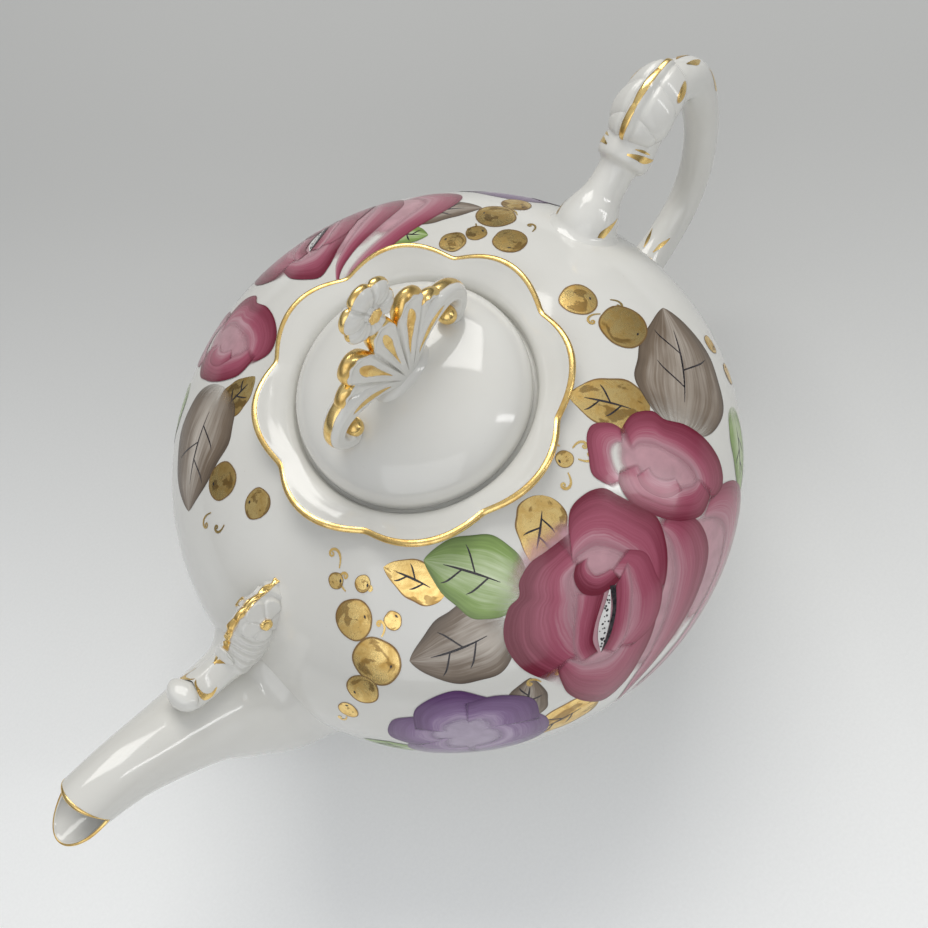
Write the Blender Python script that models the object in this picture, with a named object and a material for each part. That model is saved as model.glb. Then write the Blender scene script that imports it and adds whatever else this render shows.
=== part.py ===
"""A globular porcelain teapot with a fluted collar, a beaked spout, an ear handle and a palmette lid.

The pot stands on its foot ring. +Z is up, the spout points along -X and the handle along +X. The origin
is on the pot's axis, in the plane the foot ring rests on. Every luted piece is its own closed solid,
kept JOINT_GAP away from its neighbours. The lid and all it carries hang on the empty lid_axis.
"""

import math

import bmesh
import bpy
import numpy as np

# Body, in metres. Both halves are superellipses that meet at the widest plane.
BELLY_RADIUS = 0.090
BELLY_HEIGHT = 0.074
CROWN_RISE = 0.0585
CROWN_POWER = 2.2
KEEL_DROP = 0.0775
KEEL_POWER = 2.0
WALL = 0.004
JOINT_GAP = 0.0003

# Base and foot ring.
BASE_HEIGHT = 0.007
FOOT_INNER = 0.0385
FOOT_OUTER = 0.0450
FOOT_ROUND = 0.0012

# Mouth: the body's opening, and the collar that plugs it.
OPENING_RADIUS = 0.0370
HOLE_RADIUS = 0.0272
LEDGE_RADIUS = 0.0331
LEDGE_HEIGHT = 0.1260
LEDGE_THICKNESS = 0.0026
COLLAR_LOBES = 8
LOBE_REACH = 0.0030
LOBE_RISE = 0.0022

# Collar section, up the inside and down the outside: rows of (radius, height above the ledge, share of the
# lobes' reach, share of their rise).
COLLAR_ROWS = (
    (HOLE_RADIUS, -LEDGE_THICKNESS, 0.0, 0.0),
    (HOLE_RADIUS, -0.0004, 0.0, 0.0),
    (HOLE_RADIUS + 0.0004, 0.0, 0.0, 0.0),
    (LEDGE_RADIUS, 0.0, 0.0, 0.0),
    (LEDGE_RADIUS + 0.0006, 0.0022, 0.0, 0.0),
    (0.0372, 0.0048, 0.30, 0.2),
    (0.0410, 0.0062, 0.475, 0.5),
    (0.0424, 0.0058, 0.50, 0.5),
    (0.0418, 0.0045, 0.50, 0.5),
    (0.0386, 0.0038, 0.30, 0.2),
    (OPENING_RADIUS - JOINT_GAP, 0.0030, 0.0, 0.0),
    (OPENING_RADIUS - JOINT_GAP, -LEDGE_THICKNESS, 0.0, 0.0),
)

# Spout and handle centrelines, as rows of (reach, height above the widest plane, half width, half depth),
# all in belly radii. Both reach equally far from the axis.
SPOUT_ROWS = (
    (0.60, -0.17, 0.24, 0.28),
    (0.79, -0.11, 0.28, 0.36),
    (0.94, -0.01, 0.25, 0.32),
    (1.05, 0.12, 0.20, 0.230),
    (1.14, 0.245, 0.158, 0.170),
    (1.25, 0.355, 0.132, 0.135),
    (1.35, 0.445, 0.112, 0.112),
    (1.45, 0.515, 0.099, 0.099),
    (1.56, 0.535, 0.087, 0.089),
    (1.66, 0.522, 0.068, 0.082),
    (1.76, 0.505, 0.046, 0.072),
)
SPOUT_WALL = 0.0030
BEAK_UPPER = (1.450, 0.640)
BEAK_LOWER = (1.640, 0.420)
HANDLE_ROWS = (
    (0.66, 0.29, 0.105, 0.105),
    (0.80, 0.37, 0.103, 0.105),
    (0.885, 0.425, 0.068, 0.075),
    (0.98, 0.470, 0.062, 0.068),
    (1.04, 0.500, 0.088, 0.090),
    (1.13, 0.545, 0.082, 0.084),
    (1.23, 0.575, 0.074, 0.076),
    (1.33, 0.570, 0.070, 0.072),
    (1.425, 0.490, 0.067, 0.070),
    (1.490, 0.330, 0.062, 0.068),
    (1.522, 0.130, 0.060, 0.068),
    (1.505, -0.060, 0.060, 0.068),
    (1.430, -0.205, 0.062, 0.068),
    (1.290, -0.285, 0.066, 0.070),
    (1.13, -0.315, 0.076, 0.078),
    (0.97, -0.325, 0.100, 0.102),
    (0.80, -0.330, 0.110, 0.110),
)

# Relief fins, in the same units: rows of (reach, height, half thickness, half depth).
CREST_ROWS = (
    (0.66, 0.455, 0.030, 0.030),
    (0.74, 0.455, 0.048, 0.070),
    (0.83, 0.430, 0.056, 0.105),
    (0.92, 0.410, 0.056, 0.112),
    (1.00, 0.415, 0.052, 0.082),
    (1.06, 0.430, 0.050, 0.055),
    (1.125, 0.455, 0.052, 0.045),
    (1.150, 0.505, 0.054, 0.040),
    (1.110, 0.530, 0.050, 0.034),
)
LEAF_ROWS = (
    (1.020, 0.540, 0.050, 0.045),
    (1.070, 0.568, 0.095, 0.075),
    (1.135, 0.600, 0.102, 0.088),
    (1.210, 0.625, 0.096, 0.085),
    (1.280, 0.636, 0.078, 0.070),
    (1.330, 0.642, 0.046, 0.040),
)

# Strainer: a hexagon of holes through the wall behind the spout, round one in the middle.
STRAINER_RADIUS = 0.0026
STRAINER_PITCH = 0.0090
STRAINER_HEIGHT = 0.0700
STRAINER_RING = 6
STRAINER_BAR_ENDS = (-0.112, -0.054)

# Lid.
DOME_RADIUS = 0.0323
DOME_RISE = 0.0130
DOME_EDGE = 0.0020
DOME_POWER = 2.3
DOME_EASE = 0.0008
FLANGE_OUTER = 0.0245
FLANGE_INNER = 0.0215
FLANGE_DROP = 0.0140
FLANGE_TAPER = 0.0002
FLANGE_EASE = 0.0006
FAN_HALF_THICKNESS = 0.0034

# Rosette: its section from the middle of one face out to the rim, as rows of (share of the radius, share of
# the half thickness, share of the petals' swing).
FLOWER_RADIUS = 0.0085
FLOWER_SWING = 0.0008
FLOWER_PETALS = 6
FLOWER_HALF_THICKNESS = 0.0030
FLOWER_RISE = 0.0325
FLOWER_ROWS = (
    (0.00, 1.00, 0.0),
    (0.26, 1.00, 0.0),
    (0.36, 0.55, 0.0),
    (0.72, 0.75, 0.5),
    (0.94, 0.55, 1.0),
    (1.00, 0.00, 1.0),
)

# Palmette: (lean from upright in degrees, length) of the stem and of each pair of feathers. FAN_SHARES are
# the places along a feather where its thickness is set, by FAN_ROUNDING.
FAN_FEATHERS = ((0.0, 0.0262), (24.0, 0.0285), (47.0, 0.0250))
FAN_SPREAD = 59.0
FAN_SINK = 0.0010
FAN_CORE = 0.0015
FAN_COLUMNS = 41
FAN_SHARES = (0.0, 0.3, 0.6, 0.8, 0.93, 1.0)
FAN_ROUNDING = (1.0, 1.0, 1.0, 0.9, 0.7, 0.35)
FEATHER_NOTCH = 0.16
FEATHER_GROOVE = 0.35
NECK_HOLE_REACH = 0.0053
NECK_HOLE_RISE = 0.0205
NECK_HOLE_RADIUS = 0.0014
NECK_HOLE_SQUEEZE = 0.7

# Volute centreline beside the fan: rows of (reach, height above the dome's top, half width, half depth).
SCROLL_ROWS = (
    (0.0030, 0.0020, 0.0024, 0.0014),
    (0.0070, 0.0056, 0.0030, 0.0026),
    (0.0118, 0.0092, 0.0032, 0.0038),
    (0.0168, 0.0108, 0.0033, 0.0042),
    (0.0212, 0.0096, 0.0031, 0.0034),
    (0.0240, 0.0058, 0.0028, 0.0025),
    (0.0234, 0.0014, 0.0027, 0.0022),
    (0.0206, -0.0006, 0.0029, 0.0027),
    (0.0188, 0.0014, 0.0020, 0.0018),
)

# Facets.
ROUND_STEPS = 64
LID_STEPS = 48
PROFILE_STEPS = 12
PATH_STEPS = 24
HANDLE_STEPS = 40
SECTION_STEPS = 18
FIN_STEPS = 16

PORCELAIN = (0.86, 0.86, 0.83)
PORCELAIN_SHADES = {
    "body_shell": (0.86, 0.85, 0.82),
    "foot_ring": (0.80, 0.79, 0.75),
    "spout_crest": (0.84, 0.80, 0.68),
    "handle_leaf": (0.84, 0.80, 0.68),
    "lid_fan": (0.84, 0.81, 0.70),
    "lid_scroll_left": (0.85, 0.75, 0.50),
    "lid_scroll_right": (0.85, 0.75, 0.50),
    "lid_flower": (0.84, 0.81, 0.72),
}


def clear_scene():
    """Remove every object of the startup scene."""
    for leftover in list(bpy.data.objects):
        bpy.data.objects.remove(leftover, do_unlink=True)


def glaze(name):
    """White glazed porcelain for one piece."""
    material = bpy.data.materials.new(name)
    material.use_nodes = True
    shader = material.node_tree.nodes["Principled BSDF"]
    shader.inputs["Base Color"].default_value = (*PORCELAIN_SHADES.get(name, PORCELAIN), 1.0)
    shader.inputs["Roughness"].default_value = 0.12
    shader.inputs["Metallic"].default_value = 0.0
    return material


def make_object(name, shape):
    """One smooth-shaded mesh object from (points, faces), facing out."""
    points, faces = shape
    mesh = bpy.data.meshes.new(name)
    mesh.from_pydata([tuple(point) for point in points], [], faces)
    work = bmesh.new()
    work.from_mesh(mesh)
    bmesh.ops.recalc_face_normals(work, faces=work.faces)
    work.to_mesh(mesh)
    work.free()
    mesh.shade_smooth()
    made = bpy.data.objects.new(name, mesh)
    bpy.context.scene.collection.objects.link(made)
    return made


def make_piece(name, shape, parent=None):
    """A piece of the teapot, with its own glaze."""
    piece = make_object(name, shape)
    piece.data.materials.append(glaze(name))
    piece.parent = parent
    return piece


def make_cutter(name, shape):
    """A helper solid that only takes part in Booleans."""
    cutter = make_object(name, shape)
    cutter.hide_render = True
    cutter.display_type = "WIRE"
    return cutter


def combine(target, helper, operation):
    """Stack an exact Boolean on the target."""
    boolean = target.modifiers.new(f"{operation.lower()}_{helper.name}", "BOOLEAN")
    boolean.operation = operation
    boolean.solver = "EXACT"
    boolean.object = helper


def revolve(profile, steps, lobes=0):
    """Solid of revolution about Z from rows of (radius, height) or (radius, height, lobe reach, lobe rise).

    A chain that starts and ends on the axis closes there; any other chain closes on itself.
    """
    rows = np.array([(*row, 0.0, 0.0)[:4] for row in profile])
    on_axis = rows[0, 0] == 0.0 and rows[-1, 0] == 0.0
    rings = rows[1:-1] if on_axis else rows
    turn = np.arange(steps) * 2.0 * math.pi / steps
    wave = 2.0 * np.abs(np.cos(lobes * turn / 2.0)) - 1.0 if lobes else np.zeros(steps)
    points = []
    for radius, height, reach, rise in rings:
        across = radius + reach * wave
        points.append(np.column_stack([across * np.cos(turn), across * np.sin(turn), height + rise * wave]))
    points = np.vstack(points)
    count = len(rings)
    faces = []
    for row in range(count - 1 if on_axis else count):
        for step in range(steps):
            beside = (step + 1) % steps
            here = row * steps
            below = (row + 1) % count * steps
            faces.append((here + step, here + beside, below + beside, below + step))
    if on_axis:
        poles = [(0.0, 0.0, rows[0, 1]), (0.0, 0.0, rows[-1, 1])]
        for pole, row in ((0, 0), (1, count - 1)):
            for step in range(steps):
                faces.append((count * steps + pole, row * steps + step, row * steps + (step + 1) % steps))
        points = np.vstack([points, poles])
    return points, faces


def smooth_rows(rows, count):
    """Catmull-Rom curve through rows of numbers, sampled at count places."""
    rows = np.array(rows, float)
    ends = np.vstack([2 * rows[0] - rows[1], rows, 2 * rows[-1] - rows[-2]])
    samples = []
    for place in np.linspace(0.0, len(rows) - 1.0, count):
        first = min(int(place), len(rows) - 2)
        part = place - first
        before, start, end, after = ends[first : first + 4]
        bend = 2 * before - 5 * start + 4 * end - after
        twist = 3 * start - before - 3 * end + after
        samples.append(start + 0.5 * part * (end - before + part * (bend + part * twist)))
    return np.array(samples)


def sweep(rows, count, section_steps, grow=0.0):
    """Closed tube in the plane y = 0 along rows of (x, z, half width, half depth), grown by grow."""
    rows = smooth_rows(rows, count)
    along = np.gradient(rows[:, :2], axis=0)
    along /= np.linalg.norm(along, axis=1)[:, None]
    across = np.column_stack([-along[:, 1], along[:, 0]])
    rows[0, :2] -= along[0] * grow
    rows[-1, :2] += along[-1] * grow
    turn = np.arange(section_steps) * 2.0 * math.pi / section_steps
    points = []
    for (x, z, width, depth), (nx, nz) in zip(rows, across):
        offset = (depth + grow) * np.sin(turn)
        points.append(np.column_stack([x + offset * nx, (width + grow) * np.cos(turn), z + offset * nz]))
    faces = [tuple(range(section_steps)), tuple(range((count - 1) * section_steps, count * section_steps))]
    for row in range(count - 1):
        for step in range(section_steps):
            beside = (step + 1) % section_steps
            here = row * section_steps
            above = here + section_steps
            faces.append((here + step, here + beside, above + beside, above + step))
    return np.vstack(points), faces


def superellipse(radius, rise, power, start, end, count):
    """Rows of (radius, height) on a quarter superellipse, from angle start to end in degrees."""
    turn = np.radians(np.linspace(start, end, count))
    return [
        (radius * abs(math.cos(t)) ** (2.0 / power), rise * abs(math.sin(t)) ** (2.0 / power)) for t in turn
    ]


def angle_at_radius(share, power):
    """Superellipse angle, in degrees, at this share of the full radius."""
    return math.degrees(math.acos(share ** (power / 2.0)))


def angle_at_height(share, power):
    """Superellipse angle, in degrees, at this share of the full rise."""
    return math.degrees(math.asin(share ** (power / 2.0)))


def body_profile(inset, top_radius, base):
    """(radius, height) rows of the body's skin, inset by this much, from the opening down to the base."""
    radius = BELLY_RADIUS - inset
    crown = CROWN_RISE - inset
    keel = KEEL_DROP - inset
    top = angle_at_radius(top_radius / radius, CROWN_POWER)
    bottom = angle_at_height((BELLY_HEIGHT - base) / keel, KEEL_POWER)
    upper = superellipse(radius, crown, CROWN_POWER, top, 0.0, PROFILE_STEPS)
    lower = superellipse(radius, keel, KEEL_POWER, 0.0, bottom, PROFILE_STEPS)
    rows = [(r, BELLY_HEIGHT + h) for r, h in upper]
    return rows + [(r, BELLY_HEIGHT - h) for r, h in lower[1:]]


def body_shape():
    """Hollow body: down the outside to a flat base, and back up inside the wall."""
    outside = body_profile(0.0, OPENING_RADIUS, BASE_HEIGHT)
    inside = body_profile(WALL, OPENING_RADIUS, BASE_HEIGHT + WALL)
    middle = [(0.0, BASE_HEIGHT)]
    floor = [(0.0, BASE_HEIGHT + WALL)]
    chain = floor + inside[::-1] + outside + middle
    return revolve(chain, ROUND_STEPS)


def body_clearance_shape():
    """The body's outer form, grown by the joint gap and closed over the mouth."""
    skin = body_profile(-JOINT_GAP, OPENING_RADIUS, BASE_HEIGHT)
    return revolve([(0.0, skin[0][1])] + skin + [(0.0, BASE_HEIGHT)], ROUND_STEPS)


def strainer_shape():
    """Hexagon of round bars along X, with one in the middle, to bore the strainer."""
    points = []
    faces = []
    centres = [(0.0, 0.0)]
    for place in range(STRAINER_RING):
        turn = math.radians(360.0 / STRAINER_RING * place)
        centres.append((STRAINER_PITCH * math.cos(turn), STRAINER_PITCH * math.sin(turn)))
    turn = np.arange(FIN_STEPS) * 2.0 * math.pi / FIN_STEPS
    for y, z in centres:
        first = len(points)
        for x in STRAINER_BAR_ENDS:
            for t in turn:
                height = STRAINER_HEIGHT + z + STRAINER_RADIUS * math.sin(t)
                points.append((x, y + STRAINER_RADIUS * math.cos(t), height))
        near = [first + step for step in range(FIN_STEPS)]
        far = [first + FIN_STEPS + step for step in range(FIN_STEPS)]
        faces.append(tuple(near))
        faces.append(tuple(far))
        for step in range(FIN_STEPS):
            beside = (step + 1) % FIN_STEPS
            faces.append((near[step], near[beside], far[beside], far[step]))
    return points, faces


def foot_shape():
    """Ring under the base with eased edges; its flat ground face is the pot's rest face."""
    top = BASE_HEIGHT - JOINT_GAP
    return revolve(
        [
            (FOOT_INNER, top),
            (FOOT_INNER, FOOT_ROUND),
            (FOOT_INNER + FOOT_ROUND, 0.0),
            (FOOT_OUTER - FOOT_ROUND, 0.0),
            (FOOT_OUTER, FOOT_ROUND),
            (FOOT_OUTER - FOOT_ROUND / 2, top / 2),
            (FOOT_OUTER, top),
        ],
        ROUND_STEPS,
    )


def collar_shape():
    """Plug, lid ledge and eight-lobed flare. The lobes fade out towards the ledge."""
    rows = [
        (radius, LEDGE_HEIGHT + rise, reach * LOBE_REACH, lift * LOBE_RISE)
        for radius, rise, reach, lift in COLLAR_ROWS
    ]
    return revolve(rows, ROUND_STEPS, COLLAR_LOBES)


def side_rows(rows, side):
    """World rows (x, z, half width, half depth) from rows in belly radii, on the -X or +X side."""
    scaled = np.array(rows) * BELLY_RADIUS
    scaled[:, 0] *= side
    scaled[:, 1] += BELLY_HEIGHT
    return scaled


def spout_bore_rows():
    """The spout's centreline with the wall taken off its section, run on past both ends."""
    rows = side_rows(SPOUT_ROWS, -1)
    rows[:, 2:] -= SPOUT_WALL
    rows[0, 0] += WALL
    rows[-1, 0] -= WALL
    return rows


def beak_cutter_shape():
    """Wedge that trims the spout's end along the slanted line from the upper to the lower lip."""
    upper = np.array(BEAK_UPPER) * BELLY_RADIUS
    lower = np.array(BEAK_LOWER) * BELLY_RADIUS
    slant = (lower - upper) / np.linalg.norm(lower - upper)
    outward = np.array([-slant[1], slant[0]])
    size = BELLY_RADIUS / 2
    corners = [upper - slant * size, lower + slant * size]
    corners += [corners[1] + outward * size, corners[0] + outward * size]
    points = []
    for y in (-size, size):
        for reach, height in corners:
            points.append((-reach, y, BELLY_HEIGHT + height))
    faces = [(0, 1, 2, 3), (4, 5, 6, 7), (0, 1, 5, 4), (1, 2, 6, 5), (2, 3, 7, 6), (3, 0, 4, 7)]
    return points, faces


def dome_shape():
    """Hollow dome with a flat underside that seats on the ledge."""
    seat = LEDGE_HEIGHT + JOINT_GAP
    edge = seat + DOME_EDGE
    outside = superellipse(DOME_RADIUS, DOME_RISE, DOME_POWER, 0.0, 90.0, PROFILE_STEPS // 2 + 2)
    inner_radius = FLANGE_INNER - JOINT_GAP
    inside = superellipse(inner_radius, DOME_RISE - WALL, DOME_POWER, 0.0, 90.0, PROFILE_STEPS // 2)
    rows = [(0.0, edge + DOME_RISE)]
    rows += [(r, edge + h) for r, h in outside[-2::-1]]
    rows += [(DOME_RADIUS - DOME_EASE, seat)]
    rows += [(inside[0][0], seat)]
    rows += [(r, edge + h) for r, h in inside[:-1]]
    rows += [(0.0, edge + DOME_RISE - WALL)]
    return revolve(rows, LID_STEPS)


def dome_clearance_shape():
    """The dome's outer form, grown by the joint gap, with a flat underside."""
    edge = LEDGE_HEIGHT + JOINT_GAP + DOME_EDGE
    outside = superellipse(
        DOME_RADIUS + JOINT_GAP, DOME_RISE + JOINT_GAP, DOME_POWER, 0.0, 90.0, PROFILE_STEPS // 2 + 2
    )
    rows = [(0.0, edge + DOME_RISE + JOINT_GAP)]
    rows += [(r, edge + h) for r, h in outside[-2::-1]]
    rows += [(DOME_RADIUS, LEDGE_HEIGHT), (0.0, LEDGE_HEIGHT)]
    return revolve(rows, LID_STEPS)


def flange_shape():
    """Locating ring that drops into the mouth with a small taper."""
    top = LEDGE_HEIGHT
    bottom = top - FLANGE_DROP
    return revolve(
        [
            (FLANGE_OUTER, top),
            (FLANGE_OUTER - FLANGE_TAPER, bottom + FLANGE_EASE),
            (FLANGE_OUTER - FLANGE_TAPER - FLANGE_EASE, bottom),
            (FLANGE_INNER + FLANGE_EASE, bottom),
            (FLANGE_INNER, bottom + FLANGE_EASE),
            (FLANGE_INNER, top),
        ],
        LID_STEPS,
    )


def dome_top():
    """Height of the dome's crown."""
    return LEDGE_HEIGHT + JOINT_GAP + DOME_EDGE + DOME_RISE


def feather_at(lean):
    """Length of the palmette at this lean from upright, and how far it is across its feather (-1 to 1)."""
    centres = np.array([centre for centre, length in FAN_FEATHERS])
    lengths = np.array([length for centre, length in FAN_FEATHERS])
    edges = np.append((centres[1:] + centres[:-1]) / 2.0, FAN_SPREAD)
    index = min(int(np.searchsorted(edges, abs(lean))), len(centres) - 1)
    half = edges[index] - centres[index]
    across = min(1.0, abs(abs(lean) - centres[index]) / half)
    return lengths[index] * (1.0 - FEATHER_NOTCH * across**2), across


def fan_shape(grow=0.0):
    """Palmette panel in the plane y = 0: feathers spread from a root in the dome, ridged on both faces."""
    spread = FAN_SPREAD + math.degrees(grow / FAN_FEATHERS[-1][1]) * 2.0
    shares = np.array(FAN_SHARES)
    rounding = np.array(FAN_ROUNDING)
    faces = []
    front = []
    for lean in np.linspace(-spread, spread, FAN_COLUMNS):
        length, across = feather_at(min(abs(lean), FAN_SPREAD))
        reach = FAN_CORE + shares * (length + grow - FAN_CORE)
        thickness = FAN_HALF_THICKNESS * rounding * (1.0 - FEATHER_GROOVE * across**2 * shares) + grow
        angle = math.radians(lean)
        height = dome_top() - FAN_SINK + reach * math.cos(angle)
        front.append(np.column_stack([reach * math.sin(angle), -thickness, height]))
    front = np.array(front)
    back = front * np.array([1.0, -1.0, 1.0])
    columns, rows = front.shape[:2]
    half = columns * rows
    for column in range(columns - 1):
        for row in range(rows - 1):
            corner = column * rows + row
            quad = (corner, corner + 1, corner + rows + 1, corner + rows)
            faces.append(quad)
            faces.append(tuple(half + index for index in reversed(quad)))
    rim = [column * rows for column in range(columns)]
    rim += [(columns - 1) * rows + row for row in range(1, rows)]
    rim += [column * rows + rows - 1 for column in reversed(range(columns - 1))]
    rim += [row for row in reversed(range(1, rows - 1))]
    for here, beside in zip(rim, rim[1:] + rim[:1]):
        faces.append((here, beside, half + beside, half + here))
    return np.vstack([front.reshape(-1, 3), back.reshape(-1, 3)]), faces


def neck_holes_shape():
    """Two small bars along Y that pierce the palmette on each side of its stem."""
    points = []
    faces = []
    turn = np.arange(FIN_STEPS // 2) * 4.0 * math.pi / FIN_STEPS
    steps = len(turn)
    for side in (-1, 1):
        first = len(points)
        for y in (-BELLY_RADIUS / 8, BELLY_RADIUS / 8):
            for t in turn:
                x = side * NECK_HOLE_REACH + NECK_HOLE_SQUEEZE * NECK_HOLE_RADIUS * math.cos(t)
                points.append((x, y, dome_top() + NECK_HOLE_RISE + NECK_HOLE_RADIUS * math.sin(t)))
        faces.append(tuple(range(first, first + steps)))
        faces.append(tuple(range(first + steps, first + 2 * steps)))
        for step in range(steps):
            beside = (step + 1) % steps
            faces.append((first + step, first + beside, first + steps + beside, first + steps + step))
    return points, faces


def flower_shape(grow=0.0):
    """Six-petal rosette, facing -Y and +Y, with a raised eye on both faces."""
    thick = FLOWER_HALF_THICKNESS + grow
    radius = FLOWER_RADIUS + grow
    face = [(share * radius, depth * thick, swing * FLOWER_SWING) for share, depth, swing in FLOWER_ROWS]
    back = [(row[0], -row[1], *row[2:]) for row in face[-2::-1]]
    points, faces = revolve(face + back, LID_STEPS, FLOWER_PETALS)
    middle = dome_top() + FLOWER_RISE
    return np.column_stack([points[:, 1], -points[:, 2], middle + points[:, 0]]), faces


def scroll_rows(side):
    """World rows of one volute, on the -X or +X side of the fan."""
    rows = np.array(SCROLL_ROWS)
    rows[:, 0] *= side
    rows[:, 1] += dome_top()
    return rows


def make_body():
    """Body shell, bored for the strainer, with its foot ring and the collar in its mouth."""
    body = make_piece("body_shell", body_shape())
    combine(body, make_cutter("strainer_bars", strainer_shape()), "DIFFERENCE")
    make_piece("foot_ring", foot_shape())
    make_piece("mouth_collar", collar_shape())


def make_spout(body_clearance):
    """Hollow spout with its open beak, fitted to the body, and the crest on top of it."""
    rows = side_rows(SPOUT_ROWS, -1)
    spout = make_piece("spout", sweep(rows, PATH_STEPS, SECTION_STEPS + 2))
    bore = make_cutter("spout_bore", sweep(spout_bore_rows(), PATH_STEPS, SECTION_STEPS + 2))
    beak = make_cutter("beak_wedge", beak_cutter_shape())
    for cutter in (beak, bore, body_clearance):
        combine(spout, cutter, "DIFFERENCE")
    crest = make_piece("spout_crest", sweep(side_rows(CREST_ROWS, -1), FIN_STEPS, FIN_STEPS))
    room = make_cutter("spout_room", sweep(rows, PATH_STEPS, SECTION_STEPS + 2, JOINT_GAP))
    for cutter in (body_clearance, room):
        combine(crest, cutter, "DIFFERENCE")


def make_handle(body_clearance):
    """Loop handle fitted to the body at both roots, and the thumb leaf on its shoulder."""
    rows = side_rows(HANDLE_ROWS, 1)
    handle = make_piece("handle", sweep(rows, HANDLE_STEPS, SECTION_STEPS - 4))
    combine(handle, body_clearance, "DIFFERENCE")
    leaf = make_piece("handle_leaf", sweep(side_rows(LEAF_ROWS, 1), FIN_STEPS, FIN_STEPS))
    room = make_cutter("handle_room", sweep(rows, HANDLE_STEPS, SECTION_STEPS - 4, JOINT_GAP))
    combine(leaf, room, "DIFFERENCE")


def make_finial(lid, dome_clearance):
    """Palmette, the two volutes beside it and the rosette on its stem."""
    fan = make_piece("lid_fan", fan_shape(), lid)
    flower_room = make_cutter("flower_room", flower_shape(JOINT_GAP))
    for cutter in (dome_clearance, flower_room, make_cutter("neck_holes", neck_holes_shape())):
        combine(fan, cutter, "DIFFERENCE")
    fan_room = make_cutter("fan_room", fan_shape(JOINT_GAP))
    make_piece("lid_flower", flower_shape(), lid)
    for name, side in (("lid_scroll_left", -1), ("lid_scroll_right", 1)):
        scroll = make_piece(name, sweep(scroll_rows(side), PATH_STEPS - 4, FIN_STEPS - 4), lid)
        for cutter in (dome_clearance, fan_room):
            combine(scroll, cutter, "DIFFERENCE")


def make_lid():
    """Everything that lifts off, hung on one empty on the pot's axis."""
    lid = bpy.data.objects.new("lid_axis", None)
    bpy.context.scene.collection.objects.link(lid)
    make_piece("lid_dome", dome_shape(), lid)
    make_piece("lid_flange", flange_shape(), lid)
    make_finial(lid, make_cutter("dome_clearance", dome_clearance_shape()))


def main():
    clear_scene()
    body_clearance = make_cutter("body_clearance", body_clearance_shape())
    make_body()
    make_spout(body_clearance)
    make_handle(body_clearance)
    make_lid()


main()
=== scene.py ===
import math

import bmesh
import bpy
import numpy as np
from mathutils import Matrix, Vector


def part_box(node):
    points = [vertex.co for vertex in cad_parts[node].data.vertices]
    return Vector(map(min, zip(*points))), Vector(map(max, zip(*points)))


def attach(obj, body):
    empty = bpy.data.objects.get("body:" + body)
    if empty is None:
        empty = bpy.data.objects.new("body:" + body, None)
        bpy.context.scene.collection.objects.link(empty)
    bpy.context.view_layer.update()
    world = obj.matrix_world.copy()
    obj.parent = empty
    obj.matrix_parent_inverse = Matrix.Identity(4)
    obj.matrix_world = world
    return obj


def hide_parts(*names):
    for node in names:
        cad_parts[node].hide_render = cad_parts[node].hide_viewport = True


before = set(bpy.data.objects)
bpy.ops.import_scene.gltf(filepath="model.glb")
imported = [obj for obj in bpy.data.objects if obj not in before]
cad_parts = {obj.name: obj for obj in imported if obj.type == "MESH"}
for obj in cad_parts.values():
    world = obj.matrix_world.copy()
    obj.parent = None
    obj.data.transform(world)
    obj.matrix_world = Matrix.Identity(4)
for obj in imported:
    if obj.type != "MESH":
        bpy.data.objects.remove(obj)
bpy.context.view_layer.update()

SEED = 7
rng = np.random.default_rng(SEED)

MM = 0.001
TEAPOT = "teapot"
LID = "lid"

# ---------------------------------------------------------------- driving dimensions, in metres
SHELL_LOW, SHELL_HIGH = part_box("body_shell")
COLLAR_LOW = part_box("mouth_collar")[0]
FOOT_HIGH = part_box("foot_ring")[1]
DOME_LOW, DOME_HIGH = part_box("lid_dome")
FLANGE_LOW, FLANGE_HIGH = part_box("lid_flange")
FLOWER_LOW, FLOWER_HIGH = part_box("lid_flower")

# Steps round each turned or swept form.
BELLY_STEPS = 320
COLLAR_STEPS = 768
SPOUT_STEPS = 160
HANDLE_STEPS = 96
LID_STEPS = 256
# Points closer than this are merged: on turned forms, on small forms, on the gold films and on the palmette.
WELD = 0.002 * MM
FINE_WELD = 0.001 * MM
FILM_WELD = 0.0001 * MM
FAN_WELD = 0.022 * MM

# Body. Both halves are superellipses that meet at the widest plane.
BELLY_RADIUS = (SHELL_HIGH[0] - SHELL_LOW[0]) / 2
BELLY_HEIGHT = 0.074
CROWN_RISE = 0.0585
CROWN_POWER = 2.2
KEEL_DROP = 0.0775
KEEL_POWER = 2.0
WALL = 0.004
BASE_HEIGHT = SHELL_LOW[2]
OPENING_RADIUS = 0.0370
BELLY_CENTRE = np.array([0.0, 0.0, BELLY_HEIGHT])
FOOT_INNER = 0.0385
FOOT_ROUND = 0.0013
FOOT_WAIST = 0.0010
STRAINER_RADIUS = 0.0026
STRAINER_PITCH = 0.0090
STRAINER_HEIGHT = 0.0700
STRAINER_RING = 6
STRAINER_BAR_ENDS = (-0.112, -0.054)

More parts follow.
